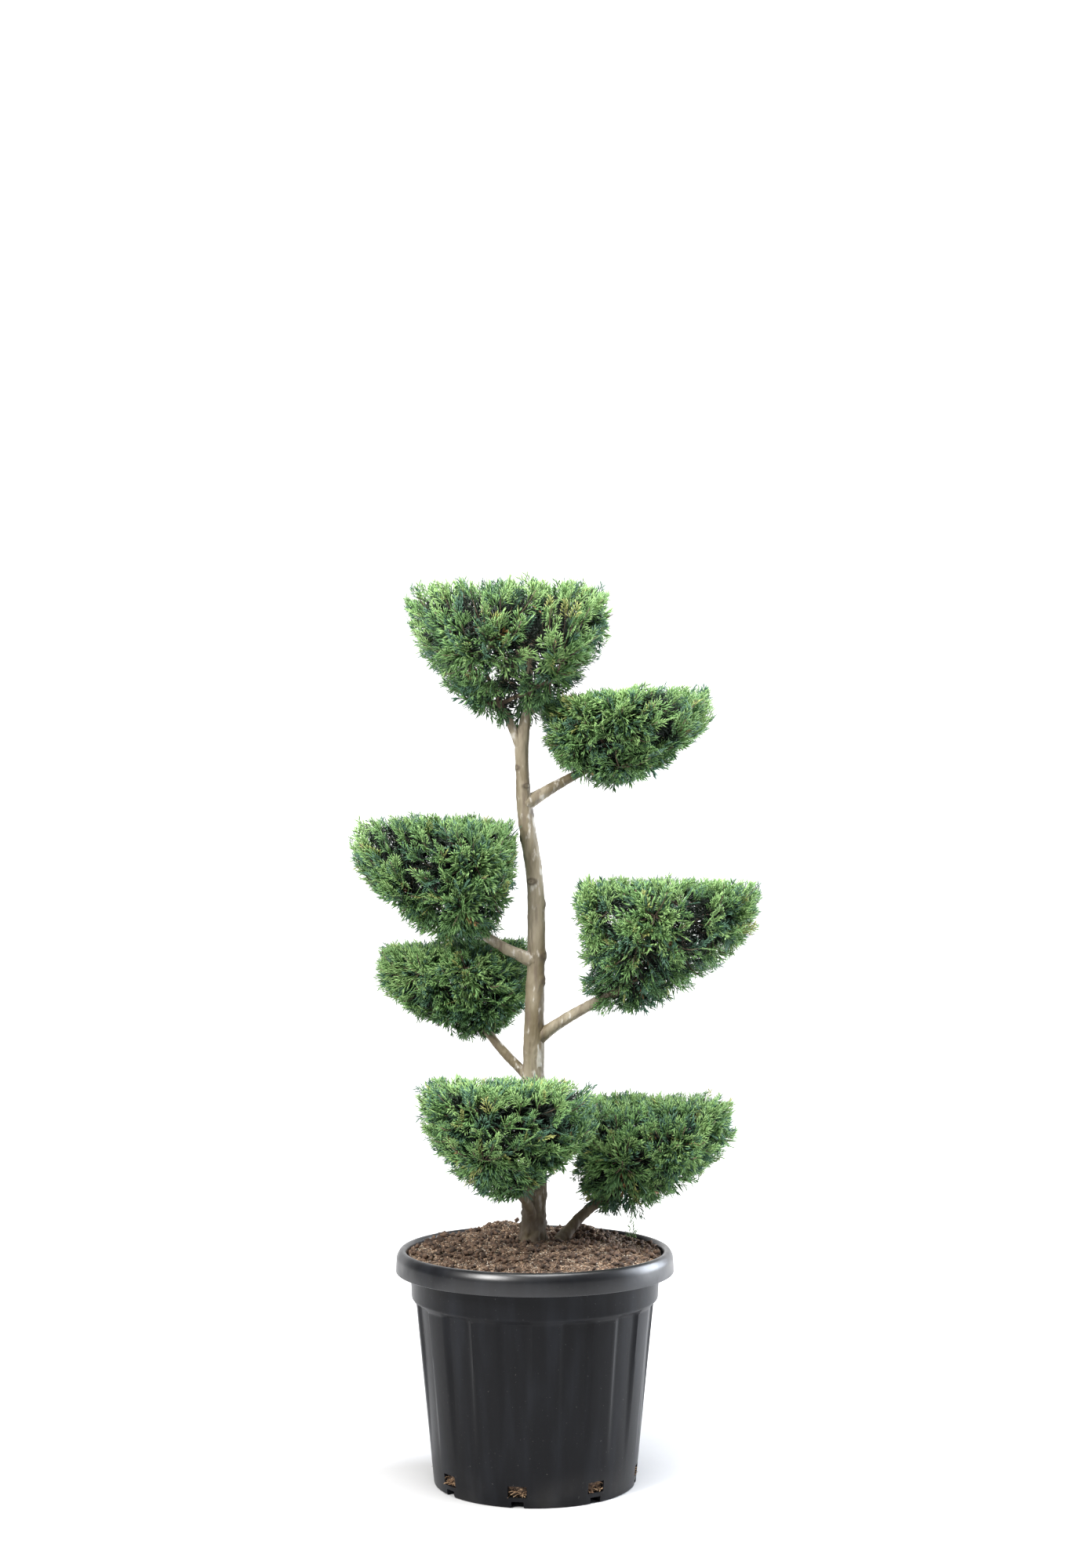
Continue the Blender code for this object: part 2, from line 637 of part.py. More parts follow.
def soil_height(x, y):
    """The soil's surface: nearly level at the trunk, humped behind it and lower at the pot's wall."""
    outwards = math.hypot(x, y)
    edge = RIM_INNER_RADIUS - 0.5 * WALL
    share = max(0.0, min(1.0, (outwards - SOIL_FLAT_RADIUS) / (edge - SOIL_FLAT_RADIUS)))
    top = SOIL_SEAT_HEIGHT + SOIL_RISE
    base = top + (SOIL_EDGE_HEIGHT - top) * share**1.6
    free = min(1.0, 4 * share) * min(1.0, 5 * (1 - share))
    lump = noise.noise(Vector((x, y, 0.3)) / 0.045) + 0.5 * noise.noise(Vector((x, y, 0.7)) / 0.02)
    for across, back, height, width in SOIL_HUMPS:
        away = math.hypot(x - across, y - back) / width
        base += height * math.exp(-away * away) * free
    return base + SOIL_LUMPS * lump * free


def make_soil(peat):
    """The soil that fills the pot, with a mounded top and level seats for the trunk and the low bough."""
    top_edge = RIM_INNER_RADIUS - 0.5 * WALL - SOIL_SIDE_CLEARANCE
    points, faces = [(0.0, 0.0, soil_height(0.0, 0.0))], []

    def ring(radius, height):
        start = len(points)
        for k in range(SOIL_SIDES):
            angle = 2 * math.pi * k / SOIL_SIDES
            x, y = radius * math.cos(angle), radius * math.sin(angle)
            points.append((x, y, soil_height(x, y) if height is None else height))
        return start

    starts = [ring(top_edge * (i + 1) / SOIL_RINGS, None) for i in range(SOIL_RINGS)]
    side = [
        (RIM_INNER_RADIUS - 0.5 * WALL, RIM_HOLLOW_TOP),
        (BAND_TOP_RADIUS - WALL, RIM_SKIRT_FOOT),
        (BAND_FOOT_RADIUS - WALL, BAND_FOOT_HEIGHT + 2 * WALL),
        (inner_radius(BODY_TOP_HEIGHT), BODY_TOP_HEIGHT + 0.5 * WALL),
        (inner_radius(FLOOR_THICKNESS), FLOOR_THICKNESS + CLEARANCE),
    ]
    starts += [ring(r - SOIL_SIDE_CLEARANCE, z) for r, z in side]
    for k in range(SOIL_SIDES):
        faces.append((0, starts[0] + k, starts[0] + (k + 1) % SOIL_SIDES))
    for a, b in zip(starts, starts[1:]):
        for k in range(SOIL_SIDES):
            n = (k + 1) % SOIL_SIDES
            faces.append((a + k, a + n, b + n, b + k))
    faces.append(tuple(starts[-1] + k for k in range(SOIL_SIDES)))
    soil = mesh_object("potting_soil", points, faces, peat)

    seats = bpy.data.collections.new("seats")
    bpy.context.scene.collection.children.link(seats)
    feet = [(trunk_line()[0][0], TRUNK_LINE[0][3] * (1 + FLARE_SPREAD)), bough_foot()]
    for centre, radius in feet:
        line = [(*centre[:2], SOIL_SEAT_HEIGHT), (*centre[:2], SOIL_SEAT_HEIGHT + 0.05)]
        seat = mesh_object("seat", *tube(line, [radius + SEAT_MARGIN] * 2, 16))
        bpy.context.scene.collection.objects.unlink(seat)
        seats.objects.link(as_helper(seat))
    apply_boolean(soil, "DIFFERENCE", collection=seats)
    return soil


def main():
    """Builds the pot, its soil, the trunk, its boughs and the pads."""
    clear_scene()
    plastic = finish_material("black_plastic", (0.022, 0.023, 0.026), 0.42)
    peat = finish_material("potting_soil", (0.105, 0.062, 0.036), 0.95)
    bark = finish_material("bark", (0.29, 0.23, 0.16), 0.8)
    foliage = finish_material("foliage", (0.055, 0.14, 0.045), 0.6)
    make_pot(plastic)
    make_soil(peat)
    make_trunk(bark)
    make_boughs(bark)
    crowns = [Crown(pad) for pad in PADS]
    limbs = limb_segments()
    for pad in PADS:
        make_pad(pad, crowns, limbs, foliage)


main()
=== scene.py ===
"""Dresses the cloud-pruned cypress: bark, twigs, sprays of scale leaves, potting soil and fluted pot.

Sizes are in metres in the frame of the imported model: +Z up, the origin under the middle of the pot.
"""

import logging
import math
import random
from dataclasses import dataclass, field
from enum import Enum
from typing import Any, NamedTuple, Sequence

import bpy
import numpy as np
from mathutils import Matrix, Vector, noise


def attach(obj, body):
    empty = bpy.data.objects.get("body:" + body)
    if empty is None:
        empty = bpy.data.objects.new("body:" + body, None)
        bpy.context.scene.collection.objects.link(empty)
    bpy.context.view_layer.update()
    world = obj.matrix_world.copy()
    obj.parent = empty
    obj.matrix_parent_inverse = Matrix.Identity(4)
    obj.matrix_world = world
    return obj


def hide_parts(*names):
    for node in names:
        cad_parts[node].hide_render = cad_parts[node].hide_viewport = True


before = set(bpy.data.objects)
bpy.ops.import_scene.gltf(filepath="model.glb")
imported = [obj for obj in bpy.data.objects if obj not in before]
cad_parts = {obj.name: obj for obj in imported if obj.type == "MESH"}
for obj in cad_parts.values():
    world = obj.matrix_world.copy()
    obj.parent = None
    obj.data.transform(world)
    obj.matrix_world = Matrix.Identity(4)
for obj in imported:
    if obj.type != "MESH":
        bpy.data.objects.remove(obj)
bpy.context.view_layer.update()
LOG = logging.getLogger("cypress")
BODY = "root"
TURN = 2 * math.pi
DRAIN_HOLES = 8
DRAIN_TURN = math.radians(-9.5)

Pair = tuple[float, float]
Triple = tuple[float, float, float]
Arrays = tuple[np.ndarray, np.ndarray]


# Shader expressions


class Value:
    """A shader socket that takes part in arithmetic."""

    def __init__(self, finish: "Material", socket: Any) -> None:
        """Keeps the socket.

        Args:
            finish: the material that the socket belongs to.
            socket: the output socket.
        """
        self.finish = finish
        self.socket = socket

    def _math(self, operation: str, first: Any, second: Any) -> "Value":
        """Adds one Math node.

        Args:
            operation: the node's operation.
            first: a value or a number.
            second: a value or a number.

        Returns:
            The node's result.
        """
        return self.finish.node("ShaderNodeMath", {"operation": operation}, {0: first, 1: second})

    def __add__(self, other: Any) -> "Value":
        """Value + other."""
        return self._math("ADD", self, other)

    def __radd__(self, other: Any) -> "Value":
        """Other + value."""
        return self._math("ADD", other, self)

    def __sub__(self, other: Any) -> "Value":
        """Value - other."""
        return self._math("SUBTRACT", self, other)

    def __rsub__(self, other: Any) -> "Value":
        """Other - value."""
        return self._math("SUBTRACT", other, self)

    def __mul__(self, other: Any) -> "Value":
        """Value * other."""
        return self._math("MULTIPLY", self, other)

    def __rmul__(self, other: Any) -> "Value":
        """Other * value."""
        return self._math("MULTIPLY", other, self)


class Material:
    """A node material that is written as expressions."""

    def __init__(self, name: str) -> None:
        """Starts a material with one Principled shader.

        Args:
            name: the material's name.
        """
        self.material = bpy.data.materials.new(name)
        self.material.use_nodes = True
        self.tree = self.material.node_tree
        self.shader = self.tree.nodes["Principled BSDF"]
        self.place = self.node("ShaderNodeTexCoord", {}, {}, "Object")

    def node(self, kind: str, settings: dict[str, Any], inputs: dict[Any, Any], output: Any = 0) -> Value:
        """Adds one node.

        Args:
            kind: the node's type.
            settings: its properties, which are set first.
            inputs: numbers, colours or values by the input's name or number.
            output: the name or number of the output that is wanted.

        Returns:
            The wanted output.
        """
        made = self.tree.nodes.new(kind)
        for name, setting in settings.items():
            setattr(made, name, setting)
        for name, given in inputs.items():
            if isinstance(given, Value):
                self.tree.links.new(given.socket, made.inputs[name])
            else:
                made.inputs[name].default_value = given
        return Value(self, made.outputs[output])

    def noise(self, scale: float, detail: float = 3.0, stretch: Sequence[float] | None = None) -> Value:
        """A noise pattern over the piece.

        Args:
            scale: its scale.
            detail: its detail.
            stretch: how the place is scaled along each axis first, where it isn't even.

        Returns:
            The pattern, from 0 to 1.
        """
        place = self.place
        if stretch:
            place = self.node("ShaderNodeMapping", {}, {"Vector": self.place, "Scale": tuple(stretch)})
        return self.node("ShaderNodeTexNoise", {}, {"Vector": place, "Scale": scale, "Detail": detail})

    def height(self, axis: str = "Z") -> Value:
        """The height above the ground, or the place along another axis."""
        return self.node("ShaderNodeSeparateXYZ", {}, {"Vector": self.place}, axis)

    def attribute(self, name: str) -> Value:
        """The value that the mesh keeps at each of its points under a name."""
        return self.node("ShaderNodeAttribute", {"attribute_name": name}, {}, "Fac")

    def between(self, value: Value, low: float, high: float) -> Value:
        """Runs smoothly from 0 to 1 while value goes from low to high.

        Args:
            value: the value to read.
            low: where the result is 0.
            high: where the result is 1.

        Returns:
            The result.
        """
        inputs = {"Value": value, "From Min": low, "From Max": high}
        return self.node("ShaderNodeMapRange", {"interpolation_type": "SMOOTHSTEP"}, inputs)

    def mix(self, factor: Any, first: Any, second: Any) -> Value:
        """Mixes two colours.

        Args:
            factor: 0 for the first and 1 for the second.
            first: a colour of three numbers, or a value.
            second: a colour of three numbers, or a value.

        Returns:
            The mixed colour.
        """
        colours = [c if isinstance(c, Value) else (*c, 1.0) for c in (first, second)]
        inputs = {0: factor, 6: colours[0], 7: colours[1]}
        return self.node("ShaderNodeMix", {"data_type": "RGBA"}, inputs, 2)

    def put(self, **inputs: Any) -> None:
        """Sets or links the shader's own inputs.

        Args:
            inputs: a number, a colour or a value for each, by its name with underscores.
        """
        for name, given in inputs.items():
            socket = self.shader.inputs[name.replace("_", " ").title().replace("Ior", "IOR")]
            if isinstance(given, Value):
                self.tree.links.new(given.socket, socket)
            else:
                socket.default_value = given

    def bump(self, height: Value, strength: float, distance: float) -> None:
        """Gives the surface a fine relief.

        Args:
            height: the relief's height, from 0 to 1.
            strength: how strongly it shows.
            distance: the height in metres that 1 stands for.
        """
        inputs = {"Height": height, "Strength": strength, "Distance": distance}
        self.put(normal=self.node("ShaderNodeBump", {}, inputs, "Normal"))


# Finishes


@dataclass(frozen=True)
class PotPlastic:
    """Black moulded plastic, satin, with dull streaks, pale specks and a dusty foot."""

    base: Triple = (0.0050, 0.0052, 0.0064)
    worn: Triple = (0.0105, 0.0115, 0.0145)
    dust: Triple = (0.110, 0.105, 0.098)
    speck_share: float = 0.35
    foot: Pair = (0.004, 0.055)
    foot_share: float = 0.22
    roughness: float = 0.20
    reflection: float = 0.12
    rim: Pair = (0.291, 0.295)
    rim_roughness: float = 0.32
    relief: float = 0.0012

    def make(self) -> bpy.types.Material:
        """Builds the material.

        Returns:
            The material.
        """
        made = Material("black_moulded_plastic")
        clouds = made.noise(7.0, 5.0)
        streaks = made.noise(11.0, 4.0, (3.0, 3.0, 0.35))
        specks = made.between(made.noise(330.0, 2.0), 0.71, 0.76)
        low = 1 - made.between(made.height(), *self.foot)
        colour = made.mix(made.between(streaks, 0.42, 0.72), self.base, self.worn)
        colour = made.mix(specks * self.speck_share, colour, self.dust)
        dusty = low * made.between(clouds, 0.40, 0.75) * self.foot_share
        made.put(base_color=made.mix(dusty, colour, self.dust), specular_ior_level=self.reflection)
        made.put(roughness=self.roughness + 0.16 * clouds + 0.14 * streaks)
        shiny = made.between(made.height(), *self.rim) * made.between(clouds, 0.30, 0.62)
        made.put(coat_weight=shiny, coat_roughness=self.rim_roughness)
        made.bump(made.noise(60.0, 4.0) * 0.7 + made.noise(700.0, 1.0) * 0.3, 0.22, self.relief)
        return made.material


@dataclass(frozen=True)
class Bark:
    """Grey-brown bark, smooth and olive above, with a pale painted highlight on some scales, rough and dark at
    the foot.
    """

    olive: Triple = (0.120, 0.092, 0.048)
    grey: Triple = (0.285, 0.245, 0.175)
    # Painted highlight: the pale colour stands in for light on the bark's sheen.
    pale: Triple = (0.620, 0.590, 0.540)
    foot: Triple = (0.125, 0.095, 0.068)
    scar: Triple = (0.050, 0.034, 0.022)
    foot_top: Pair = (0.345, 0.425)
    grain_share: float = 0.75
    highlight_share: float = 0.60
    foot_share: float = 0.85
    scar_share: float = 0.75
    relief: float = 0.0030

    def make(self) -> bpy.types.Material:
        """Builds the material.

        Returns:
            The material.
        """
        made = Material("cypress_bark")
        patches = made.noise(16.0, 5.0, (1.0, 1.0, 0.28))
        grain = made.noise(150.0, 4.0, (1.0, 1.0, 0.12))
        scales = made.noise(95.0, 5.0, (1.0, 1.0, 0.45))
        tone = made.noise(34.0, 5.0, (1.0, 1.0, 0.30))
        low = 1 - made.between(made.height() + 0.05 * (patches - 0.5), *self.foot_top)
        colour = made.mix(made.between(patches * 0.5 + tone * 0.5, 0.42, 0.58), self.olive, self.grey)
        for share, other in (
            (made.between(grain, 0.50, 0.72) * self.grain_share, self.foot),
            # Painted highlight: the pale colour is laid on part of the scales.
            (made.between(scales, 0.56, 0.68) * self.highlight_share, self.pale),
            (low * made.between(scales, 0.30, 0.55) * self.foot_share, self.foot),
            (made.attribute("scar") * self.scar_share, self.scar),
        ):
            colour = made.mix(share, colour, other)
        made.put(base_color=colour, roughness=0.55 + 0.25 * grain)
        made.bump(grain * 0.6 + scales * 0.4, 0.85, self.relief)
        return made.material


@dataclass(frozen=True)
class Grainy:
    """A rough brown or straw finish whose tone wanders between two colours."""

    name: str
    dark: Triple
    light: Triple
    scale: float = 120.0
    relief: float = 0.0010

    def make(self) -> bpy.types.Material:
        """Builds the material.

        Returns:
            The material.
        """
        made = Material(self.name)
        tone = made.between(made.noise(self.scale, 5.0), 0.34, 0.66)
        fine = made.noise(self.scale * 5, 3.0)
        made.put(base_color=made.mix(tone, self.dark, self.light), roughness=0.82 + 0.15 * fine)
        made.bump(fine, 0.6, self.relief)
        return made.material


@dataclass(frozen=True)
class PaleSweep:
    """The studio's pale sheet: a matt floor that is lit up towards the back."""

    tint: Triple = (0.62, 0.62, 0.63)
    other_tint: Triple = (0.64, 0.64, 0.64)
    glow_from_to: Pair = (0.5, 2.0)
    glow: float = 0.75

    def make(self) -> bpy.types.Material:
        """Builds the material.

        Returns:
            The material.
        """
        made = Material("pale_sweep")
        away = made.between(made.height("Y"), *self.glow_from_to)
        made.put(base_color=made.mix(made.noise(40.0, 2.0), self.tint, self.other_tint), roughness=0.9)
        glow = made.mix(away, (0.0, 0.0, 0.0), (1.0, 1.0, 1.0))
        made.put(emission_color=glow, emission_strength=self.glow)
        return made.material


class LeafTone(Enum):
    """The plain colours that are dealt out to the sprays. The greens from BRIGHT down to SHADE are painted
    light and shade, lit and shaded copies of one green; BLUE, YELLOW and DEAD are the foliage's own colours.
    """

    BRIGHT = (0.250, 0.410, 0.145)
    LIT = (0.155, 0.295, 0.098)
    MIDDLE = (0.088, 0.185, 0.070)
    BLUE = (0.070, 0.155, 0.098)
    DEEP = (0.030, 0.068, 0.032)
    SHADE = (0.006, 0.014, 0.008)
    YELLOW = (0.340, 0.370, 0.120)
    DEAD = (0.320, 0.170, 0.070)

    def make(self) -> bpy.types.Material:
        """Builds the plain material of this tone.

        Returns:
            The material.
        """
        made = Material(f"leaf_{self.name.lower()}")
        made.tree.nodes.remove(made.place.socket.node)
        made.put(base_color=(*self.value, 1.0), roughness=0.52, specular_ior_level=0.35)
        return made.material


# Meshes from arrays


def direction_of(offset: np.ndarray) -> np.ndarray:
    """The unit vector along an offset."""
    return offset / max(float(np.linalg.norm(offset)), 1e-6)


def lengths_of(rows: np.ndarray) -> np.ndarray:
    """The length of the vector in each row."""
    return np.linalg.norm(rows, axis=1)


def angles_of(count: int) -> np.ndarray:
    """Evenly spaced angles round a circle."""
    return np.arange(count) * 2 * math.pi / count


def eased(share: Any) -> Any:
    """Smooths a share that runs from 0 to 1."""
    return share * share * (3 - 2 * share)


def bell(away: float) -> float:
    """A bump that is 1 in the middle and fades away from it."""
    return math.exp(-away * away)


def mesh_piece(
    name: str,
    points: np.ndarray,
    faces: np.ndarray,
    materials: Sequence[bpy.types.Material],
    tones: np.ndarray | None = None,
) -> bpy.types.Object:
    """Makes one smooth-shaded object from arrays.

    Args:
        name: the piece's name.
        points: its points, one row each.
        faces: its triangles, one row each.
        materials: its materials.
        tones: the number of each triangle's material, where there are several.

    Returns:
        The object.
    """
    mesh = bpy.data.meshes.new(name)
    count, sides = faces.shape
    mesh.vertices.add(len(points))
    mesh.vertices.foreach_set("co", np.ascontiguousarray(points, np.float32).ravel())
    mesh.loops.add(count * sides)
    mesh.loops.foreach_set("vertex_index", np.ascontiguousarray(faces, np.int32).ravel())
    mesh.polygons.add(count)
    mesh.polygons.foreach_set("loop_start", np.arange(0, count * sides, sides, dtype=np.int32))
    mesh.polygons.foreach_set("use_smooth", np.ones(count, bool))
    if tones is not None:
        mesh.polygons.foreach_set("material_index", tones.astype(np.int32))
    mesh.update(calc_edges=True)
    mesh.validate()
    for material in materials:
        mesh.materials.append(material)
    piece = bpy.data.objects.new(name, mesh)
    bpy.context.scene.collection.objects.link(piece)
    return piece


def dress(piece: bpy.types.Object, slot: str, *nodes: str) -> None:
    """Rides a piece on the body, hides the nodes that it replaces and logs its triangles.

    Args:
        piece: the piece.
        slot: the record's material slot; not used.
        nodes: the nodes that it replaces, if any.
    """
    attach(piece, BODY)
    if nodes:
        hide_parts(*nodes)
    piece.data.calc_loop_triangles()
    LOG.info("%s: %d triangles", piece.name, len(piece.data.loop_triangles))


def smooth_line(points: Sequence[Sequence[float]], count: int) -> np.ndarray:
    """Samples a Catmull-Rom curve evenly.

    Args:
        points: the points it runs through, of any number of values each.
        count: how many samples to take.

    Returns:
        The samples, one row each.
    """
    held = np.array(points, float)
    held = np.vstack([2 * held[0] - held[1], held, 2 * held[-1] - held[-2]])
    at = np.linspace(0, len(points) - 1, count)
    k = np.minimum(at.astype(int), len(points) - 2)
    t = (at - k)[:, None]
    weights = (
        (-t + 2 * t**2 - t**3) / 2,
        (2 - 5 * t**2 + 3 * t**3) / 2,
        (t + 4 * t**2 - 3 * t**3) / 2,
        (-(t**2) + t**3) / 2,
    )
    return sum(w * held[k + i] for i, w in enumerate(weights))


def grid(rings: int, sides: int) -> Arrays:
    """Numbers the cells between rings of points.

    Args:
        rings: the number of rings.
        sides: the number of points in each.

    Returns:
        The number of the first and of the second lower corner of each cell.
    """
    i, k = np.meshgrid(np.arange(rings - 1), np.arange(sides), indexing="ij")
    return (i * sides + k).ravel(), (i * sides + (k + 1) % sides).ravel()


def tube(line: np.ndarray, radii: np.ndarray, sides: int) -> Arrays:
    """Builds a closed round limb.

    Args:
        line: the centres, one row each.
        radii: the radius at each centre, or one row of radii round each centre.
        sides: the number of sides.

    Returns:
        The points, and the quads that join them. The ends close to a point.
    """
    ahead = np.gradient(line, axis=0)
    ahead /= lengths_of(ahead)[:, None]
    side = np.eye(3)[0 if abs(ahead[0][0]) < 0.9 else 1]
    angles = angles_of(sides)[:, None]
    rows = []
    for centre, forward, radius in zip(line, ahead, radii):
        side = direction_of(side - side.dot(forward) * forward)
        ring = np.cos(angles) * side + np.sin(angles) * np.cross(forward, side)
        rows.append(centre + np.reshape(radius, (-1, 1)) * ring)
    count = len(line)
    points = np.vstack([*rows, line[0], line[-1]])
    a, b = grid(count, sides)
    quads = [np.stack([a, b, b + sides, a + sides], axis=1)]
    k = np.arange(sides)
    n = (k + 1) % sides
    last = (count - 1) * sides
    for tip, first, second in ((count * sides, n, k), (count * sides + 1, last + k, last + n)):
        quads.append(np.stack([first, second, np.full(sides, tip), np.full(sides, tip)], axis=1))
    return points, np.vstack(quads)


def triangles(quads: np.ndarray) -> np.ndarray:
    """Splits quads, and drops the empty half of a cap's.

    Args:
        quads: the quads, one row each.

    Returns:
        The triangles.
    """
    halves = np.vstack([quads[:, [0, 1, 2]], quads[:, [0, 2, 3]]])
    return halves[(halves != np.roll(halves, 1, axis=1)).all(axis=1)]


def joined(parts: Sequence[Arrays]) -> Arrays:
    """Joins several sets of points and faces.

    Args:
        parts: the sets.

    Returns:
        All points and all faces.
    """
    points, faces, start = [], [], 0
    for own, rows in parts:
        points.append(own)
        faces.append(rows + start)
        start += len(own)
    return np.vstack(points), np.vstack(faces)


# Limbs


# Across, back, height and radius of the trunk's middle line, from the soil up.
TRUNK_LINE = (
    (-0.0030, 0.003, 0.3328, 0.0165),
    (0.0000, 0.004, 0.425, 0.0160),
    (-0.0013, 0.005, 0.510, 0.0157),
    (-0.0018, 0.006, 0.580, 0.0152),
    (-0.0010, 0.005, 0.646, 0.0137),
    (0.0013, 0.003, 0.720, 0.0125),
    (0.0020, 0.001, 0.791, 0.0118),
    (-0.0005, 0.000, 0.845, 0.0115),
    (-0.0080, -0.001, 0.896, 0.0113),
    (-0.0148, -0.002, 0.944, 0.0105),
    (-0.0176, -0.003, 0.990, 0.0090),
    (-0.0178, -0.003, 1.036, 0.0092),
    (-0.0100, -0.002, 1.085, 0.0060),
    (-0.0060, 0.000, 1.170, 0.0042),
)


@dataclass(frozen=True)
class BoughShape:
    """One bough's line, from inside the trunk, or from the soil, to the pad that it carries."""

    node: str
    root_height: float | None
    middle: Triple
    tip: Triple
    root_radius: float
    tip_radius: float
    soil_root: Triple = (0.035, 0.006, 0.3320)
    trunk_samples: int = 60

    def line(self, count: int) -> np.ndarray:
        """Samples the bough.

        Args:
            count: how many samples to take.

        Returns:
            One row of x, y, z and radius for each sample.
        """
        root = self.soil_root
        if self.root_height is not None:
            trunk = smooth_line(TRUNK_LINE, self.trunk_samples)
            root = tuple(trunk[np.argmin(abs(trunk[:, 2] - self.root_height)), :3])
        middle = (self.root_radius + self.tip_radius) / 2
        rows = [(*root, self.root_radius), (*self.middle, middle), (*self.tip, self.tip_radius)]
        return smooth_line(rows, count)


# Node, height on the trunk, middle, tip, and the radii at the root and the tip.
BOUGHS = (
    BoughShape("bough_fork", 1.026, (-0.0295, -0.003, 1.048), (-0.0410, -0.004, 1.074), 0.0066, 0.0052),
    BoughShape("bough_upper_right", 0.950, (0.0270, 0.008, 0.9705), (0.0570, 0.016, 0.9870), 0.0086, 0.0060),
    BoughShape("bough_upper_left", 0.722, (-0.0400, -0.010, 0.7440), (-0.0790, -0.017, 0.7690), 0.0085, 0.0065),
    BoughShape("bough_middle_right", 0.608, (0.0440, -0.003, 0.6460), (0.1040, -0.008, 0.6800), 0.0088, 0.0066),
    BoughShape("bough_lower_left", 0.556, (-0.0440, 0.022, 0.5970), (-0.0700, 0.038, 0.6270), 0.0070, 0.0056),
    BoughShape("bough_front", 0.362, (-0.0080, -0.022, 0.3850), (-0.0240, -0.054, 0.4130), 0.0076, 0.0060),
    BoughShape("bough_low_right", None, (0.0620, 0.011, 0.3640), (0.1000, 0.018, 0.3960), 0.0078, 0.0068),
)


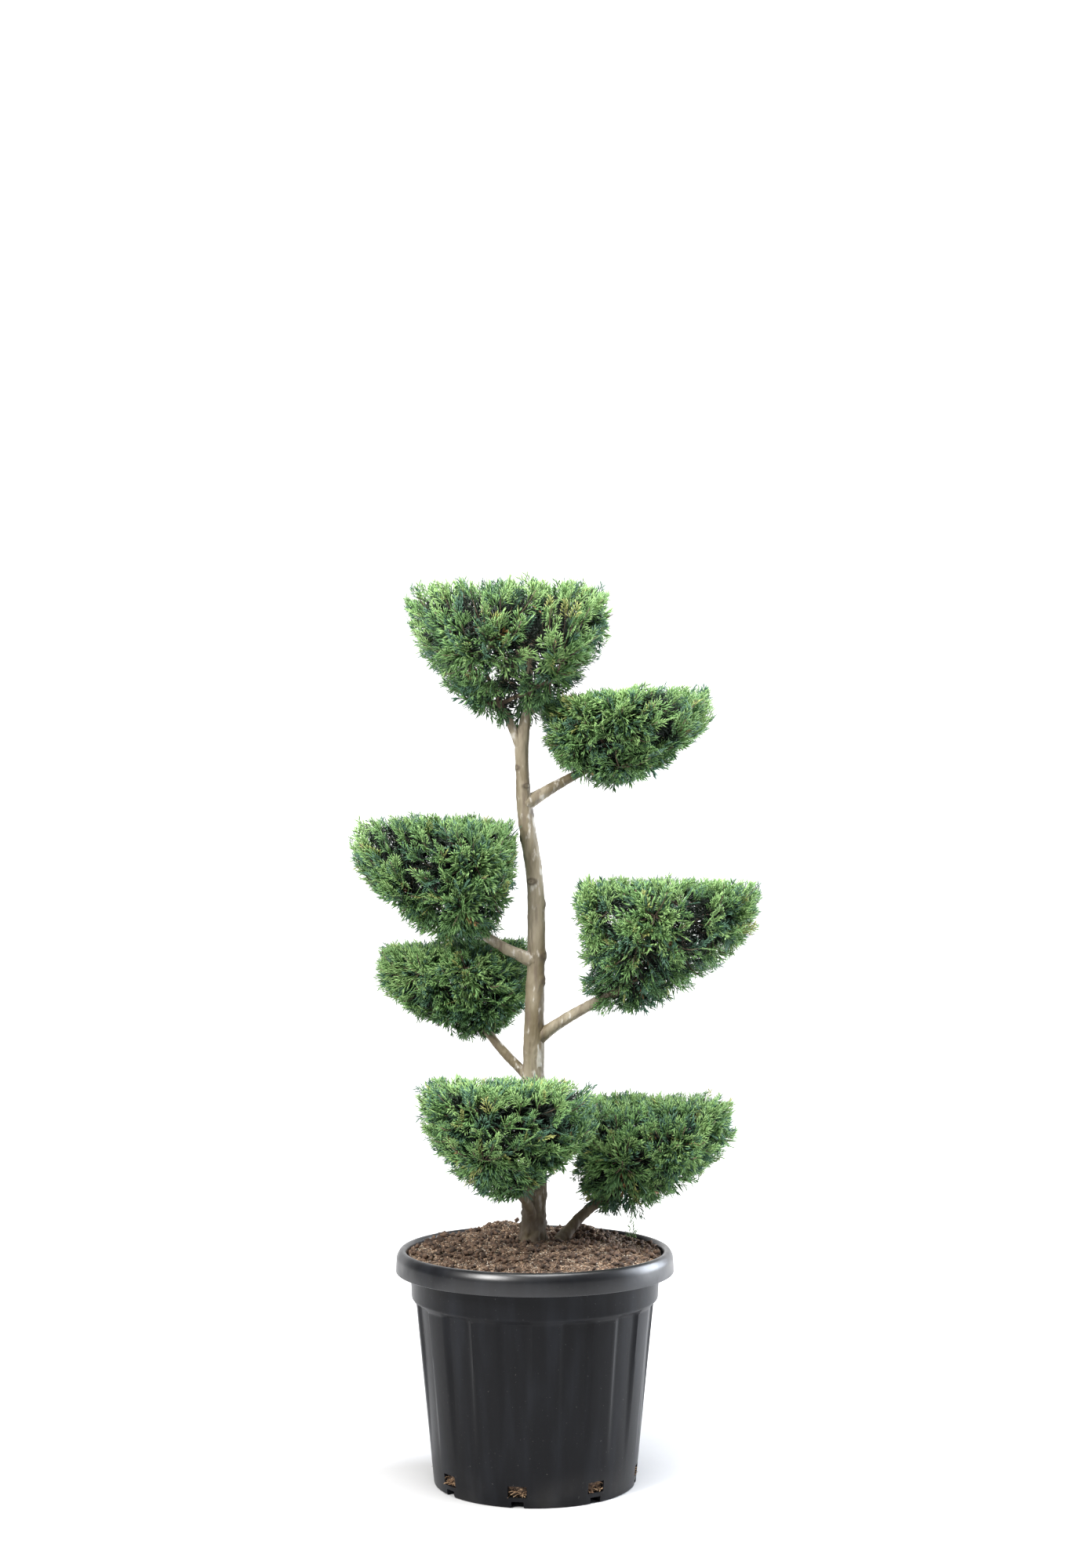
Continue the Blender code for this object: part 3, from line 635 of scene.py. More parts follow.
@dataclass
class Limbs:
    """Trunk and boughs with the relief of their bark."""

    finish: bpy.types.Material
    trunk_rings: int = 560
    trunk_sides: int = 72
    bough_rings: int = 150
    bough_sides: int = 40
    foot_height: float = 0.045
    foot_spread: float = 0.24
    foot_lobes: int = 5
    rough_height: float = 0.10
    least_rough: float = 0.12
    low_bough_rough: float = 0.14
    bough_rough: float = 0.10
    ridge_rise: float = 0.055
    wave_rise: float = 0.070
    scale_rise: float = 0.035
    plate_rise: float = 0.0065
    knots: int = 17
    knots_from: float = 0.39
    knots_span: float = 0.63
    knot_widths: Pair = (0.0040, 0.0075)
    knot_rises: Pair = (0.0016, 0.0034)
    knot_reach: float = 2.5
    knot_stretch: float = 1.6
    collar_swell: float = 0.34
    collar_length: float = 0.020
    seed: int = 5

    def relief(self, place: np.ndarray, radius: float, share: float, rough: float) -> float:
        """How far the bark stands out at a place.

        Args:
            place: the place on the smooth limb.
            radius: the limb's radius there.
            share: how far along the limb the place is, from 0 to 1.
            rough: how rough the bark is there, from 0 to 1.

        Returns:
            The height in metres.
        """
        x, y, z = place
        ridges, scales, waves, plates = (
            noise.noise(Vector((x * across, y * across, z * along + shift)))
            for across, along, shift in ((210, 22, share), (420, 130, 0), (60, 26, 0), (170, 90, 7))
        )
        even = self.ridge_rise * ridges + self.wave_rise * waves + self.scale_rise * scales
        return radius * even + self.plate_rise * max(0.0, plates) * rough

    def knot_rows(self) -> list[tuple[float, ...]]:
        """Places the trunk's knots.

        Returns:
            Height, angle, width and how far it stands out, for each.
        """
        draw = random.Random(self.seed)
        rows = []
        for i in range(self.knots):
            height = self.knots_from + self.knots_span * (i + draw.uniform(0.1, 0.9)) / self.knots
            angle = draw.uniform(0, TURN)
            rows.append((height, angle, draw.uniform(*self.knot_widths), draw.uniform(*self.knot_rises)))
        return rows

    def knotted(self, height: float, angle: float, radius: float, knots: list[tuple[float, ...]]) -> Pair:
        """What the knots do to one place on the trunk.

        Args:
            height: the place's height.
            angle: its angle round the trunk.
            radius: the trunk's radius there.
            knots: the knots, as knot_rows gives them.

        Returns:
            How far the place stands out, and how dark its scar is, from 0 to 1.
        """
        out, scar = 0.0, 0.0
        for middle, turn, width, rise in knots:
            above = (height - middle) / width
            if abs(above) < self.knot_reach:
                aside = (angle - turn + math.pi) % TURN - math.pi
                away = math.hypot(above, radius * aside / (self.knot_stretch * width))
                out += rise * (bell(away) - 0.55 * bell(away / 0.42))
                scar = max(scar, bell((away - 0.75) / 0.33), 0.8 * bell(away / 0.25))
        return out, scar

    def trunk(self) -> bpy.types.Object:
        """Builds the whole trunk, with its flare, knots and rough foot.

        Returns:
            The piece.
        """
        rows = smooth_line(TRUNK_LINE, self.trunk_rings)
        line, radii = rows[:, :3], rows[:, 3]
        knots = self.knot_rows()
        grown = np.empty((self.trunk_rings, self.trunk_sides))
        scars = np.empty_like(grown)
        for i, (centre, radius) in enumerate(zip(line, radii)):
            above = centre[2] - line[0][2]
            low = max(0.0, 1 - above / self.foot_height)
            rough = self.least_rough + (1 - self.least_rough) * max(0.0, 1 - above / self.rough_height)
            for k, angle in enumerate(angles_of(self.trunk_sides)):
                flare = 1 + self.foot_spread * low**2 * (0.75 + 0.25 * math.cos(self.foot_lobes * angle))
                place = centre + radius * np.array([math.cos(angle), math.sin(angle), 0.0])
                out, scars[i, k] = self.knotted(centre[2], angle, radius, knots)
                grown[i, k] = radius * flare + self.relief(place, radius, 0.0, rough) + out
        points, quads = tube(line, grown, self.trunk_sides)
        trunk = mesh_piece("trunk_bark", points, triangles(quads), [self.finish])
        marks = trunk.data.attributes.new("scar", "FLOAT", "POINT")
        marks.data.foreach_set("value", np.append(scars, [0.0, 0.0]).astype(np.float32))
        return trunk

    def bough(self, shape: BoughShape) -> bpy.types.Object:
        """Builds one bough, with a collar where it leaves the trunk.

        Args:
            shape: the bough's line.

        Returns:
            The piece.
        """
        rows = shape.line(self.bough_rings)
        line, radii = rows[:, :3], rows[:, 3].copy()
        along = np.concatenate([[0], np.cumsum(lengths_of(np.diff(line, axis=0)))])
        radii *= 1 + self.collar_swell * np.exp(-((along / self.collar_length) ** 2))
        rough = self.low_bough_rough if shape.root_height is None else self.bough_rough
        grown = np.empty((len(line), self.bough_sides))
        for i, (centre, radius) in enumerate(zip(line, radii)):
            for k, angle in enumerate(angles_of(self.bough_sides)):
                place = centre + radius * np.array([0.3 * math.cos(angle), math.sin(angle), math.cos(angle)])
                grown[i, k] = radius + self.relief(place, radius, i / len(line), rough)
        points, quads = tube(line, grown, self.bough_sides)
        return mesh_piece(f"{shape.node}_bark", points, triangles(quads), [self.finish])

    def build(self) -> None:
        """Builds and dresses all limbs."""
        dress(self.trunk(), "bark", "trunk")
        for shape in BOUGHS:
            dress(self.bough(shape), "bark", shape.node)


# Foliage


@dataclass(frozen=True)
class PadShape:
    """One pad's clipped shape: a flat-topped bowl whose foot sits nearer the trunk than its middle."""

    name: str
    centre: Pair
    half_width: float
    half_depth: float
    bottom: float
    top: float
    foot: Pair
    fullness: float
    tilt: float
    seed: int
    anchor_share: float = 0.42
    anchor_lean: float = 0.8
    plan_power: float = 2.25
    foot_width: float = 0.22
    shift_to: float = 0.7
    shoulder: float = 0.80
    dome: float = 0.03
    dome_to: float = 1.5
    lump_size: float = 0.055
    lump_share: float = 0.06
    halvings: int = 14

    @property
    def node(self) -> str:
        """The pad's node."""
        return f"pad_{self.name}"

    @property
    def bough(self) -> BoughShape:
        """The bough that carries the pad."""
        node = "bough_fork" if self.name == "crown" else f"bough_{self.name}"
        return next(bough for bough in BOUGHS if bough.node == node)

    @property
    def height(self) -> float:
        """The pad's height."""
        return self.top - self.bottom

    @property
    def anchor(self) -> np.ndarray:
        """The place that the pad's shoots radiate from."""
        share = self.anchor_share * self.anchor_lean
        level = [f + (c - f) * share for f, c in zip(self.foot, self.centre)]
        return np.array([*level, self.bottom + self.height * self.anchor_share])

    def holds(self, points: np.ndarray) -> np.ndarray:
        """Tells which points lie inside the smooth shape.

        Args:
            points: the points, one row each.

        Returns:
            True or False for each.
        """
        dx = (points[:, 0] - self.centre[0]) / self.half_width
        dy = (points[:, 1] - self.centre[1]) / self.half_depth
        fall = self.dome * self.height * np.minimum(self.dome_to, dx * dx + dy * dy)
        top = self.top + self.tilt * dx - fall
        rise = (points[:, 2] - self.bottom) / (top - self.bottom)
        inside = (rise >= 0) & (rise <= 1)
        rise = np.clip(rise, 0, 1)
        shift = eased(np.minimum(1.0, rise / self.shift_to))
        spread = np.sin(math.pi / 2 * np.minimum(1.0, rise / self.shoulder) ** self.fullness)
        width = self.foot_width + (1 - self.foot_width) * spread
        x = self.foot[0] + (self.centre[0] - self.foot[0]) * shift
        y = self.foot[1] + (self.centre[1] - self.foot[1]) * shift
        dx = np.abs(points[:, 0] - x) / self.half_width
        dy = np.abs(points[:, 1] - y) / self.half_depth
        away = (dx**self.plan_power + dy**self.plan_power) ** (1 / self.plan_power)
        return inside & (away <= width)

    def reach(self, directions: np.ndarray) -> np.ndarray:
        """How far the clipped surface is from the anchor.

        Args:
            directions: unit vectors, one row each.

        Returns:
            The distance along each.
        """
        near = np.zeros(len(directions))
        far = np.full(len(directions), 2 * max(self.half_width, self.height))
        for _ in range(self.halvings):
            middle = (near + far) / 2
            held = self.holds(self.anchor + directions * middle[:, None])
            near, far = np.where(held, middle, near), np.where(held, far, middle)
        places = (self.anchor + directions * near[:, None]) / self.lump_size
        lumps = np.array([noise.noise(Vector(p)) for p in places])
        return near * (1 + self.lump_share * lumps)

    def beyond(self, points: np.ndarray) -> np.ndarray:
        """How far points are outside the clipped surface, or inside it where negative.

        Args:
            points: the points, one row each.

        Returns:
            The distance for each.
        """
        offset = points - self.anchor
        away = np.maximum(lengths_of(offset), 1e-6)
        return away - self.reach(offset / away[:, None])


# Name, middle, half width and depth, bottom, top, foot, fullness, tilt and seed.
PADS = (
    PadShape("crown", (-0.037, 0.000), 0.142, 0.126, 1.056, 1.259, (-0.032, 0.000), 1.00, 0.000, 11),
    PadShape("upper_right", (0.129, 0.026), 0.116, 0.100, 0.973, 1.109, (0.106, 0.020), 0.82, 0.008, 12),
    PadShape("upper_left", (-0.140, -0.020), 0.114, 0.101, 0.749, 0.931, (-0.106, -0.017), 0.85, 0.000, 13),
    PadShape("middle_right", (0.184, -0.012), 0.125, 0.106, 0.654, 0.844, (0.128, -0.009), 0.80, 0.000, 14),
    PadShape("lower_left", (-0.113, 0.060), 0.112, 0.092, 0.615, 0.752, (-0.088, 0.050), 0.80, 0.004, 15),
    PadShape("front", (-0.039, -0.113), 0.120, 0.093, 0.405, 0.572, (-0.042, -0.096), 0.95, 0.000, 16),
    PadShape("low_right", (0.168, 0.024), 0.111, 0.095, 0.369, 0.535, (0.124, 0.020), 0.74, 0.000, 17),
)


@dataclass
class SprayPattern:
    """One flat, ferny spray of scale leaves, 1 long, along X and flat in Z."""

    seed: int
    laterals: int = 9
    forked: int = 6
    half_width: float = 0.024
    half_thickness: float = 0.016
    points: np.ndarray = field(init=False)
    faces: np.ndarray = field(init=False)

    def __post_init__(self) -> None:
        """Grows the pattern."""
        draw = random.Random(self.seed)
        parts = [
            self.finger((0.0, 0.0), 0.0, 0.62, 0.8),
            self.finger((0.5, 0.0), draw.uniform(-0.06, 0.06), 0.5, 1.0),
        ]
        for i in range(self.laterals):
            at = 0.10 + 0.765 * i / self.laterals + draw.uniform(-0.015, 0.015)
            side = 1 if i % 2 else -1
            turn = side * math.radians(draw.uniform(22, 38))
            length = (0.54 - 0.36 * at) * draw.uniform(0.8, 1.15)
            parts.append(self.finger((at, 0.0), turn, length, 1.0))
            if i < self.forked:
                share = draw.uniform(0.35, 0.5)
                root = (at + math.cos(turn) * length * share, math.sin(turn) * length * share)
                inner = turn - side * math.radians(draw.uniform(22, 36)) * (1 if i % 3 else -0.9)
                parts.append(self.finger(root, inner, length * draw.uniform(0.5, 0.7), 0.9))
        self.points, self.faces = joined(parts)

    def finger(self, root: Pair, turn: float, length: float, size: float) -> Arrays:
        """One branchlet as a three-sided spindle.

        Args:
            root: where it starts, in the spray's plane.
            turn: its angle from X.
            length: its length.
            size: its thickness, as a share of the usual one.

        Returns:
            Its points and triangles.
        """
        along = np.array([math.cos(turn), math.sin(turn), 0.0])
        across = np.array([-math.sin(turn), math.cos(turn), 0.0])
        base = np.array([*root, 0.0])
        middle = base + along * length * 0.58
        ring = []
        for k in range(3):
            angle = TURN * k / 3 + 0.5 * math.pi
            aside = across * self.half_width * size * math.cos(angle) * 1.15
            above = np.array([0, 0, self.half_thickness * size * math.sin(angle)])
            ring.append(middle + aside + above)
        points = np.vstack([base, *ring, base + along * length])
        faces = [(0, k + 1, (k + 1) % 3 + 1) for k in range(3)]
        faces += [(4, (k + 1) % 3 + 1, k + 1) for k in range(3)]
        return points, np.array(faces)[:, ::-1]


class Spray(NamedTuple):
    """One spray's place, and whether it belongs to the pad's inside."""

    root: np.ndarray
    forward: np.ndarray
    normal: np.ndarray
    length: float
    inner: bool


@dataclass
class Pad:
    """One pad's twigs and sprays, grown on from its bough's tip by the rule of its solid."""

    shape: PadShape
    patterns: Sequence[SprayPattern]
    twig_finish: bpy.types.Material
    leaf_finishes: Sequence[bpy.types.Material]
    rng: np.random.Generator = field(init=False)
    stem_overlap: float = 0.004
    shoots: int = 152
    candidates: int = 2600
    shoot_wander: float = 0.16
    shoot_bend: float = 0.045
    shoot_radii: Pair = (0.0013, 0.00045)
    sprays_per_shoot: int = 12
    inner_sprays: int = 5
    spray_lengths: Pair = (0.030, 0.048)
    filler_sprays: int = 16
    filler_lengths: Pair = (0.036, 0.052)
    main_twigs: int = 10
    main_share: float = 0.72
    main_radii: Triple = (0.0034, 0.0024, 0.0013)
    main_bend: float = 0.006
    leafy_length: float = 0.100
    proud: float = 0.0015
    most_proud: float = 0.0095
    even_top: float = 0.035
    trunk_gap: float = 0.004
    light_depth: float = 0.0175
    plain_patterns: int = 2

    def targets(self) -> Arrays:
        """Spreads the shoots' ends evenly over the clipped surface.

        Returns:
            Their directions from the anchor, and their places.
        """
        up = self.rng.uniform(-1, 1, self.candidates)
        turn = self.rng.uniform(0, TURN, self.candidates)
        level = np.sqrt(1 - up * up)
        directions = np.stack([level * np.cos(turn), level * np.sin(turn), up], axis=1)
        uneven = np.clip(1 + self.rng.normal(-0.030, 0.125, len(up)), 0.70, 1.08)
        uneven = np.where(up > 0.55, np.clip(uneven, 0.90, 1.01), uneven)
        crowding = 1 + 0.18 * np.clip(up, -1, 0.6)
        places = self.shape.anchor + directions * (self.shape.reach(directions) * uneven)[:, None]
        chosen = [0]
        nearest = lengths_of(places - places[0])
        while len(chosen) < self.shoots:
            chosen.append(int(np.argmax(nearest * crowding)))
            nearest = np.minimum(nearest, lengths_of(places - places[chosen[-1]]))
        return directions[chosen], places[chosen]

    def stem(self) -> np.ndarray:
        """Leads the stem on from the bough's tip to the anchor.

        Returns:
            One row of x, y, z and radius for each sample.
        """
        rows = self.shape.bough.line(20)
        ahead = direction_of(rows[-1, :3] - rows[-3, :3])
        start = rows[-1, :3] - ahead * self.stem_overlap
        middle = start + ahead * np.linalg.norm(self.shape.anchor - start) * 0.4
        places = (start, middle, self.shape.anchor)
        radius = self.shape.bough.tip_radius
        return smooth_line([(*p, radius * share) for p, share in zip(places, (1, 0.85, 0.55))], 10)

    def grow(self) -> tuple[list[Arrays], list[Spray]]:
        """Grows the pad.

        Returns:
            The twigs' points and faces, and the sprays.
        """
        directions, ends = self.targets()
        stem = self.stem()
        twigs, mains, sprays = [tube(stem[:, :3], stem[:, 3], 10)], [], []
        for i in range(self.main_twigs):
            pick = ends[(i * self.shoots) // self.main_twigs]
            start = stem[3 + (i * 5) % 7, :3]
            bend = (start + pick) / 2 + self.rng.normal(0, self.main_bend, 3)
            bend = bend + np.array([0, 0, self.main_bend])
            places = (start, bend, start + (pick - start) * self.main_share)
            row = smooth_line([(*p, r) for p, r in zip(places, self.main_radii)], 9)
            mains.append(row)
            twigs.append(tube(row[:, :3], row[:, 3], 6))
        joints = np.vstack([main[2:, :3] for main in mains])
        radii = np.linspace(*self.shoot_radii, 9)
        for direction, end in zip(directions, ends):
            line = self.shoot(direction, end, joints)
            twigs.append(tube(line[:-1], radii[:-1], 4))
            sprays += self.leaf_out(line)
        # The filler sprays lie deep inside the pad, so the tone dealing gives them mostly the dark
        # painted-shade tones.
        for row in mains:
            for _ in range(self.filler_sprays):
                place = row[self.rng.integers(2, len(row)), :3]
                away = self.rng.normal(0, 1, 3) + direction_of(place - self.shape.anchor)
                normal = self.rng.normal(0, 1, 3)
                length = self.rng.uniform(*self.filler_lengths)
                sprays.append(Spray(place, direction_of(away), normal, length, True))
        return twigs, sprays

    def shoot(self, direction: np.ndarray, end: np.ndarray, joints: np.ndarray) -> np.ndarray:
        """Draws one shoot from the main twigs to its end.

        Args:
            direction: the end's direction from the anchor.
            end: the shoot's end.
            joints: the places on the main twigs where a shoot may start.

        Returns:
            The shoot's centre line.
        """
        lift = 0.30 + 0.75 * max(0.0, direction[2]) - 0.25 * max(0.0, -direction[2])
        growth = direction + np.array([0.0, 0.0, lift]) + self.rng.normal(0, self.shoot_wander, 3)
        growth = direction_of(growth)
        inward = joints - end
        cost = lengths_of(inward) + 0.6 * np.maximum(0, (inward @ growth) + 0.02)
        root = joints[int(np.argmin(cost))]
        lower = end - growth * min(np.linalg.norm(end - root) * 0.5, self.shoot_bend)
        first = root + (lower - root) * 0.5
        t = np.linspace(0, 1, 9)[:, None]
        start = (1 - t) ** 3 * root + 3 * (1 - t) ** 2 * t * first
        return start + 3 * (1 - t) * t**2 * lower + t**3 * end

    def leaf_out(self, line: np.ndarray) -> list[Spray]:
        """Sets sprays along a shoot's outer part, turning round it.

        Args:
            line: the shoot's centre line.

        Returns:
            The sprays.
        """
        steps = lengths_of(np.diff(line, axis=0))
        along = np.concatenate([[0], np.cumsum(steps)])
        start = max(0.0, along[-1] - self.leafy_length)
        turn = self.rng.uniform(0, TURN)
        sprays = []
        for i in range(self.sprays_per_shoot):
            share = i / (self.sprays_per_shoot - 1)
            at = start + (along[-1] - start) * (0.02 + 0.86 * share)
            k = min(int(np.searchsorted(along, at)), len(line) - 1)
            ahead = direction_of(line[k] - line[k - 1])
            place = line[k - 1] + (line[k] - line[k - 1]) * (at - along[k - 1]) / max(steps[k - 1], 1e-6)
            side = direction_of(np.cross(ahead, [0.37, 0.61, 0.70]))
            turn += 2.4 + self.rng.normal(0, 0.3)
            out = math.cos(turn) * side + math.sin(turn) * np.cross(ahead, side)
            opening = (0.84 - 0.60 * share) * self.rng.uniform(0.6, 1.2)
            forward = ahead * math.cos(opening) + out * math.sin(opening)
            normal = np.cross(forward, out) + self.rng.normal(0, 0.45, 3)
            length = self.rng.uniform(*self.spray_lengths) * (1.05 - 0.15 * share)
            sprays.append(Spray(place, direction_of(forward), normal, length, i < self.inner_sprays))
        return sprays

    def fit(self, sprays: list[Spray]) -> tuple[np.ndarray, ...]:
        """Draws back the sprays that would pass the clipped surface, and drops those in the trunk.

        Args:
            sprays: the sprays.

        Returns:
            Roots, directions, sideways vectors, normals, lengths, how deep each tip lies, and
            which sprays belong to the inside.
        """
        roots, forwards, normals, lengths, inner = (np.array(column) for column in zip(*sprays))
        across = np.cross(normals, forwards)
        across /= lengths_of(across)[:, None]
        normals = np.cross(forwards, across)
        strays = np.zeros(len(roots))
        by_shoot = np.repeat(self.rng.normal(0.0005, 0.0075, self.shoots), self.sprays_per_shoot)
        strays[: len(by_shoot)] = by_shoot
        strays = np.clip(strays + self.rng.normal(0, 0.0030, len(roots)), 0, self.most_proud)
        strays[roots[:, 2] > self.shape.top - self.even_top] *= 0.5
        for _ in range(2):
            over = np.full(len(roots), -1.0)
            for ahead, aside in ((1.0, 0.0), (0.78, 0.20), (0.78, -0.20), (0.5, 0.27), (0.5, -0.27)):
                tips = roots + forwards * (ahead * lengths)[:, None] + across * (aside * lengths)[:, None]
                over = np.maximum(over, self.shape.beyond(tips))
            excess = np.maximum(0, over - self.proud - strays)
            inward = self.shape.anchor - roots
            inward /= lengths_of(inward)[:, None]
            roots = roots + (0.55 * inward - 0.45 * forwards) * excess[:, None] * 1.15
        trunk = smooth_line(TRUNK_LINE, 120)
        middles = (roots + forwards * (lengths * 0.5)[:, None])[:, None]
        gap = np.linalg.norm(middles[..., :2] - trunk[None, :, :2], axis=2)
        level = np.abs(middles[..., 2] - trunk[None, :, 2]) < 0.02
        keep = ~((gap < trunk[None, :, 3] + self.trunk_gap) & level).any(axis=1)
        depth = -self.shape.beyond(roots + forwards * lengths[:, None])
        return tuple(a[keep] for a in (roots, forwards, across, normals, lengths, depth, inner))

    def tones(self, depth: np.ndarray, tips: np.ndarray) -> np.ndarray:
        """Deals out the sprays' tones as painted light and shade: bright at the clipped surface and towards the
        pad's top, dark inside.

        Args:
            depth: how deep each tip lies.
            tips: the tips.

        Returns:
            The number of each spray's tone.
        """
        number = list(LeafTone).index
        chance = self.rng.uniform(0, 1, len(depth))
        other = self.rng.uniform(0, 1, len(depth))
        rise = (tips[:, 2] - self.shape.bottom) / self.shape.height
        # Painted shade: the deeper a spray's tip lies, the darker its tone. Painted light: tips nearer the
        # pad's top get lighter tones.
        shown = np.clip(1.06 - depth / self.light_depth, 0, 1)
        shown = shown * (0.66 + 0.34 * np.clip(rise * 1.4, 0, 1))
        light = shown + 0.35 * (chance - 0.5)
        tone = np.full(len(depth), number(LeafTone.SHADE))
        for chosen, name in (
            (light > 0.22, LeafTone.DEEP),
            (light > 0.42, LeafTone.MIDDLE),
            (light > 0.68, LeafTone.LIT),
            (light > 0.93, LeafTone.BRIGHT),
            ((other < 0.22) & (light > 0.32), LeafTone.BLUE),
            ((other > 0.975) & (light > 0.5), LeafTone.YELLOW),
            ((other > 0.988) & (light < 0.6), LeafTone.DEAD),
        ):
            tone[chosen] = number(name)
        return tone

    def lay(self, pattern: SprayPattern, places: Sequence[np.ndarray], sizes: Sequence[np.ndarray]) -> Arrays:
        """Lays copies of one pattern on their places.

        Args:
            pattern: the pattern.
            places: the copies' roots, directions, sideways vectors and normals.
            sizes: the copies' lengths, widths and bends. A width below 0 turns a copy over.

        Returns:
            Their points and faces.
        """
        roots, forwards, across, normals = (rows[:, None, :] for rows in places)
        lengths, widths, bends = (rows[:, None, None] for rows in sizes)
        x, y, z = (pattern.points[None, :, i : i + 1] for i in range(3))
        points = roots + forwards * x * lengths + across * y * widths
        points = points + normals * (z + bends * x**2) * lengths
        faces = np.tile(pattern.faces[None], (len(roots), 1, 1))
        flipped = sizes[1] < 0
        faces[flipped] = faces[flipped][:, :, ::-1]
        faces = faces + (np.arange(len(roots)) * len(pattern.points))[:, None, None]
        return points.reshape(-1, 3), faces.reshape(-1, 3)

    def build(self) -> None:
        """Builds and dresses the pad."""
        node = self.shape.node
        self.rng = np.random.default_rng(self.shape.seed)
        twigs, sprays = self.grow()
        points, quads = joined(twigs)
        dress(mesh_piece(f"{node}_twigs", points, triangles(quads), [self.twig_finish]), "bark", node)
        self.rng = np.random.default_rng(self.shape.seed + 100)
        *places, lengths, depth, inner = self.fit(sprays)
        count = len(lengths)
        tones = self.tones(depth, places[0] + places[1] * lengths[:, None])
        plain = len(self.patterns) - self.plain_patterns
        pattern_of = self.rng.integers(0, plain, count)
        pattern_of[inner] = self.rng.integers(plain, len(self.patterns), int(inner.sum()))
        bends = self.rng.uniform(-0.20, 0.10, count)
        widths = lengths * self.rng.uniform(0.85, 1.15, count)
        widths = widths * np.where(self.rng.uniform(0, 1, count) < 0.5, -1, 1)
        parts, shades = [], []
        for i, pattern in enumerate(self.patterns):
            own = pattern_of == i
            sizes = [rows[own] for rows in (lengths, widths, bends)]
            parts.append(self.lay(pattern, [rows[own] for rows in places], sizes))
            shades.append(np.repeat(tones[own], len(pattern.faces)))
        piece = mesh_piece(f"{node}_sprays", *joined(parts), self.leaf_finishes, np.concatenate(shades))
        dress(piece, "foliage", node)


# Pot


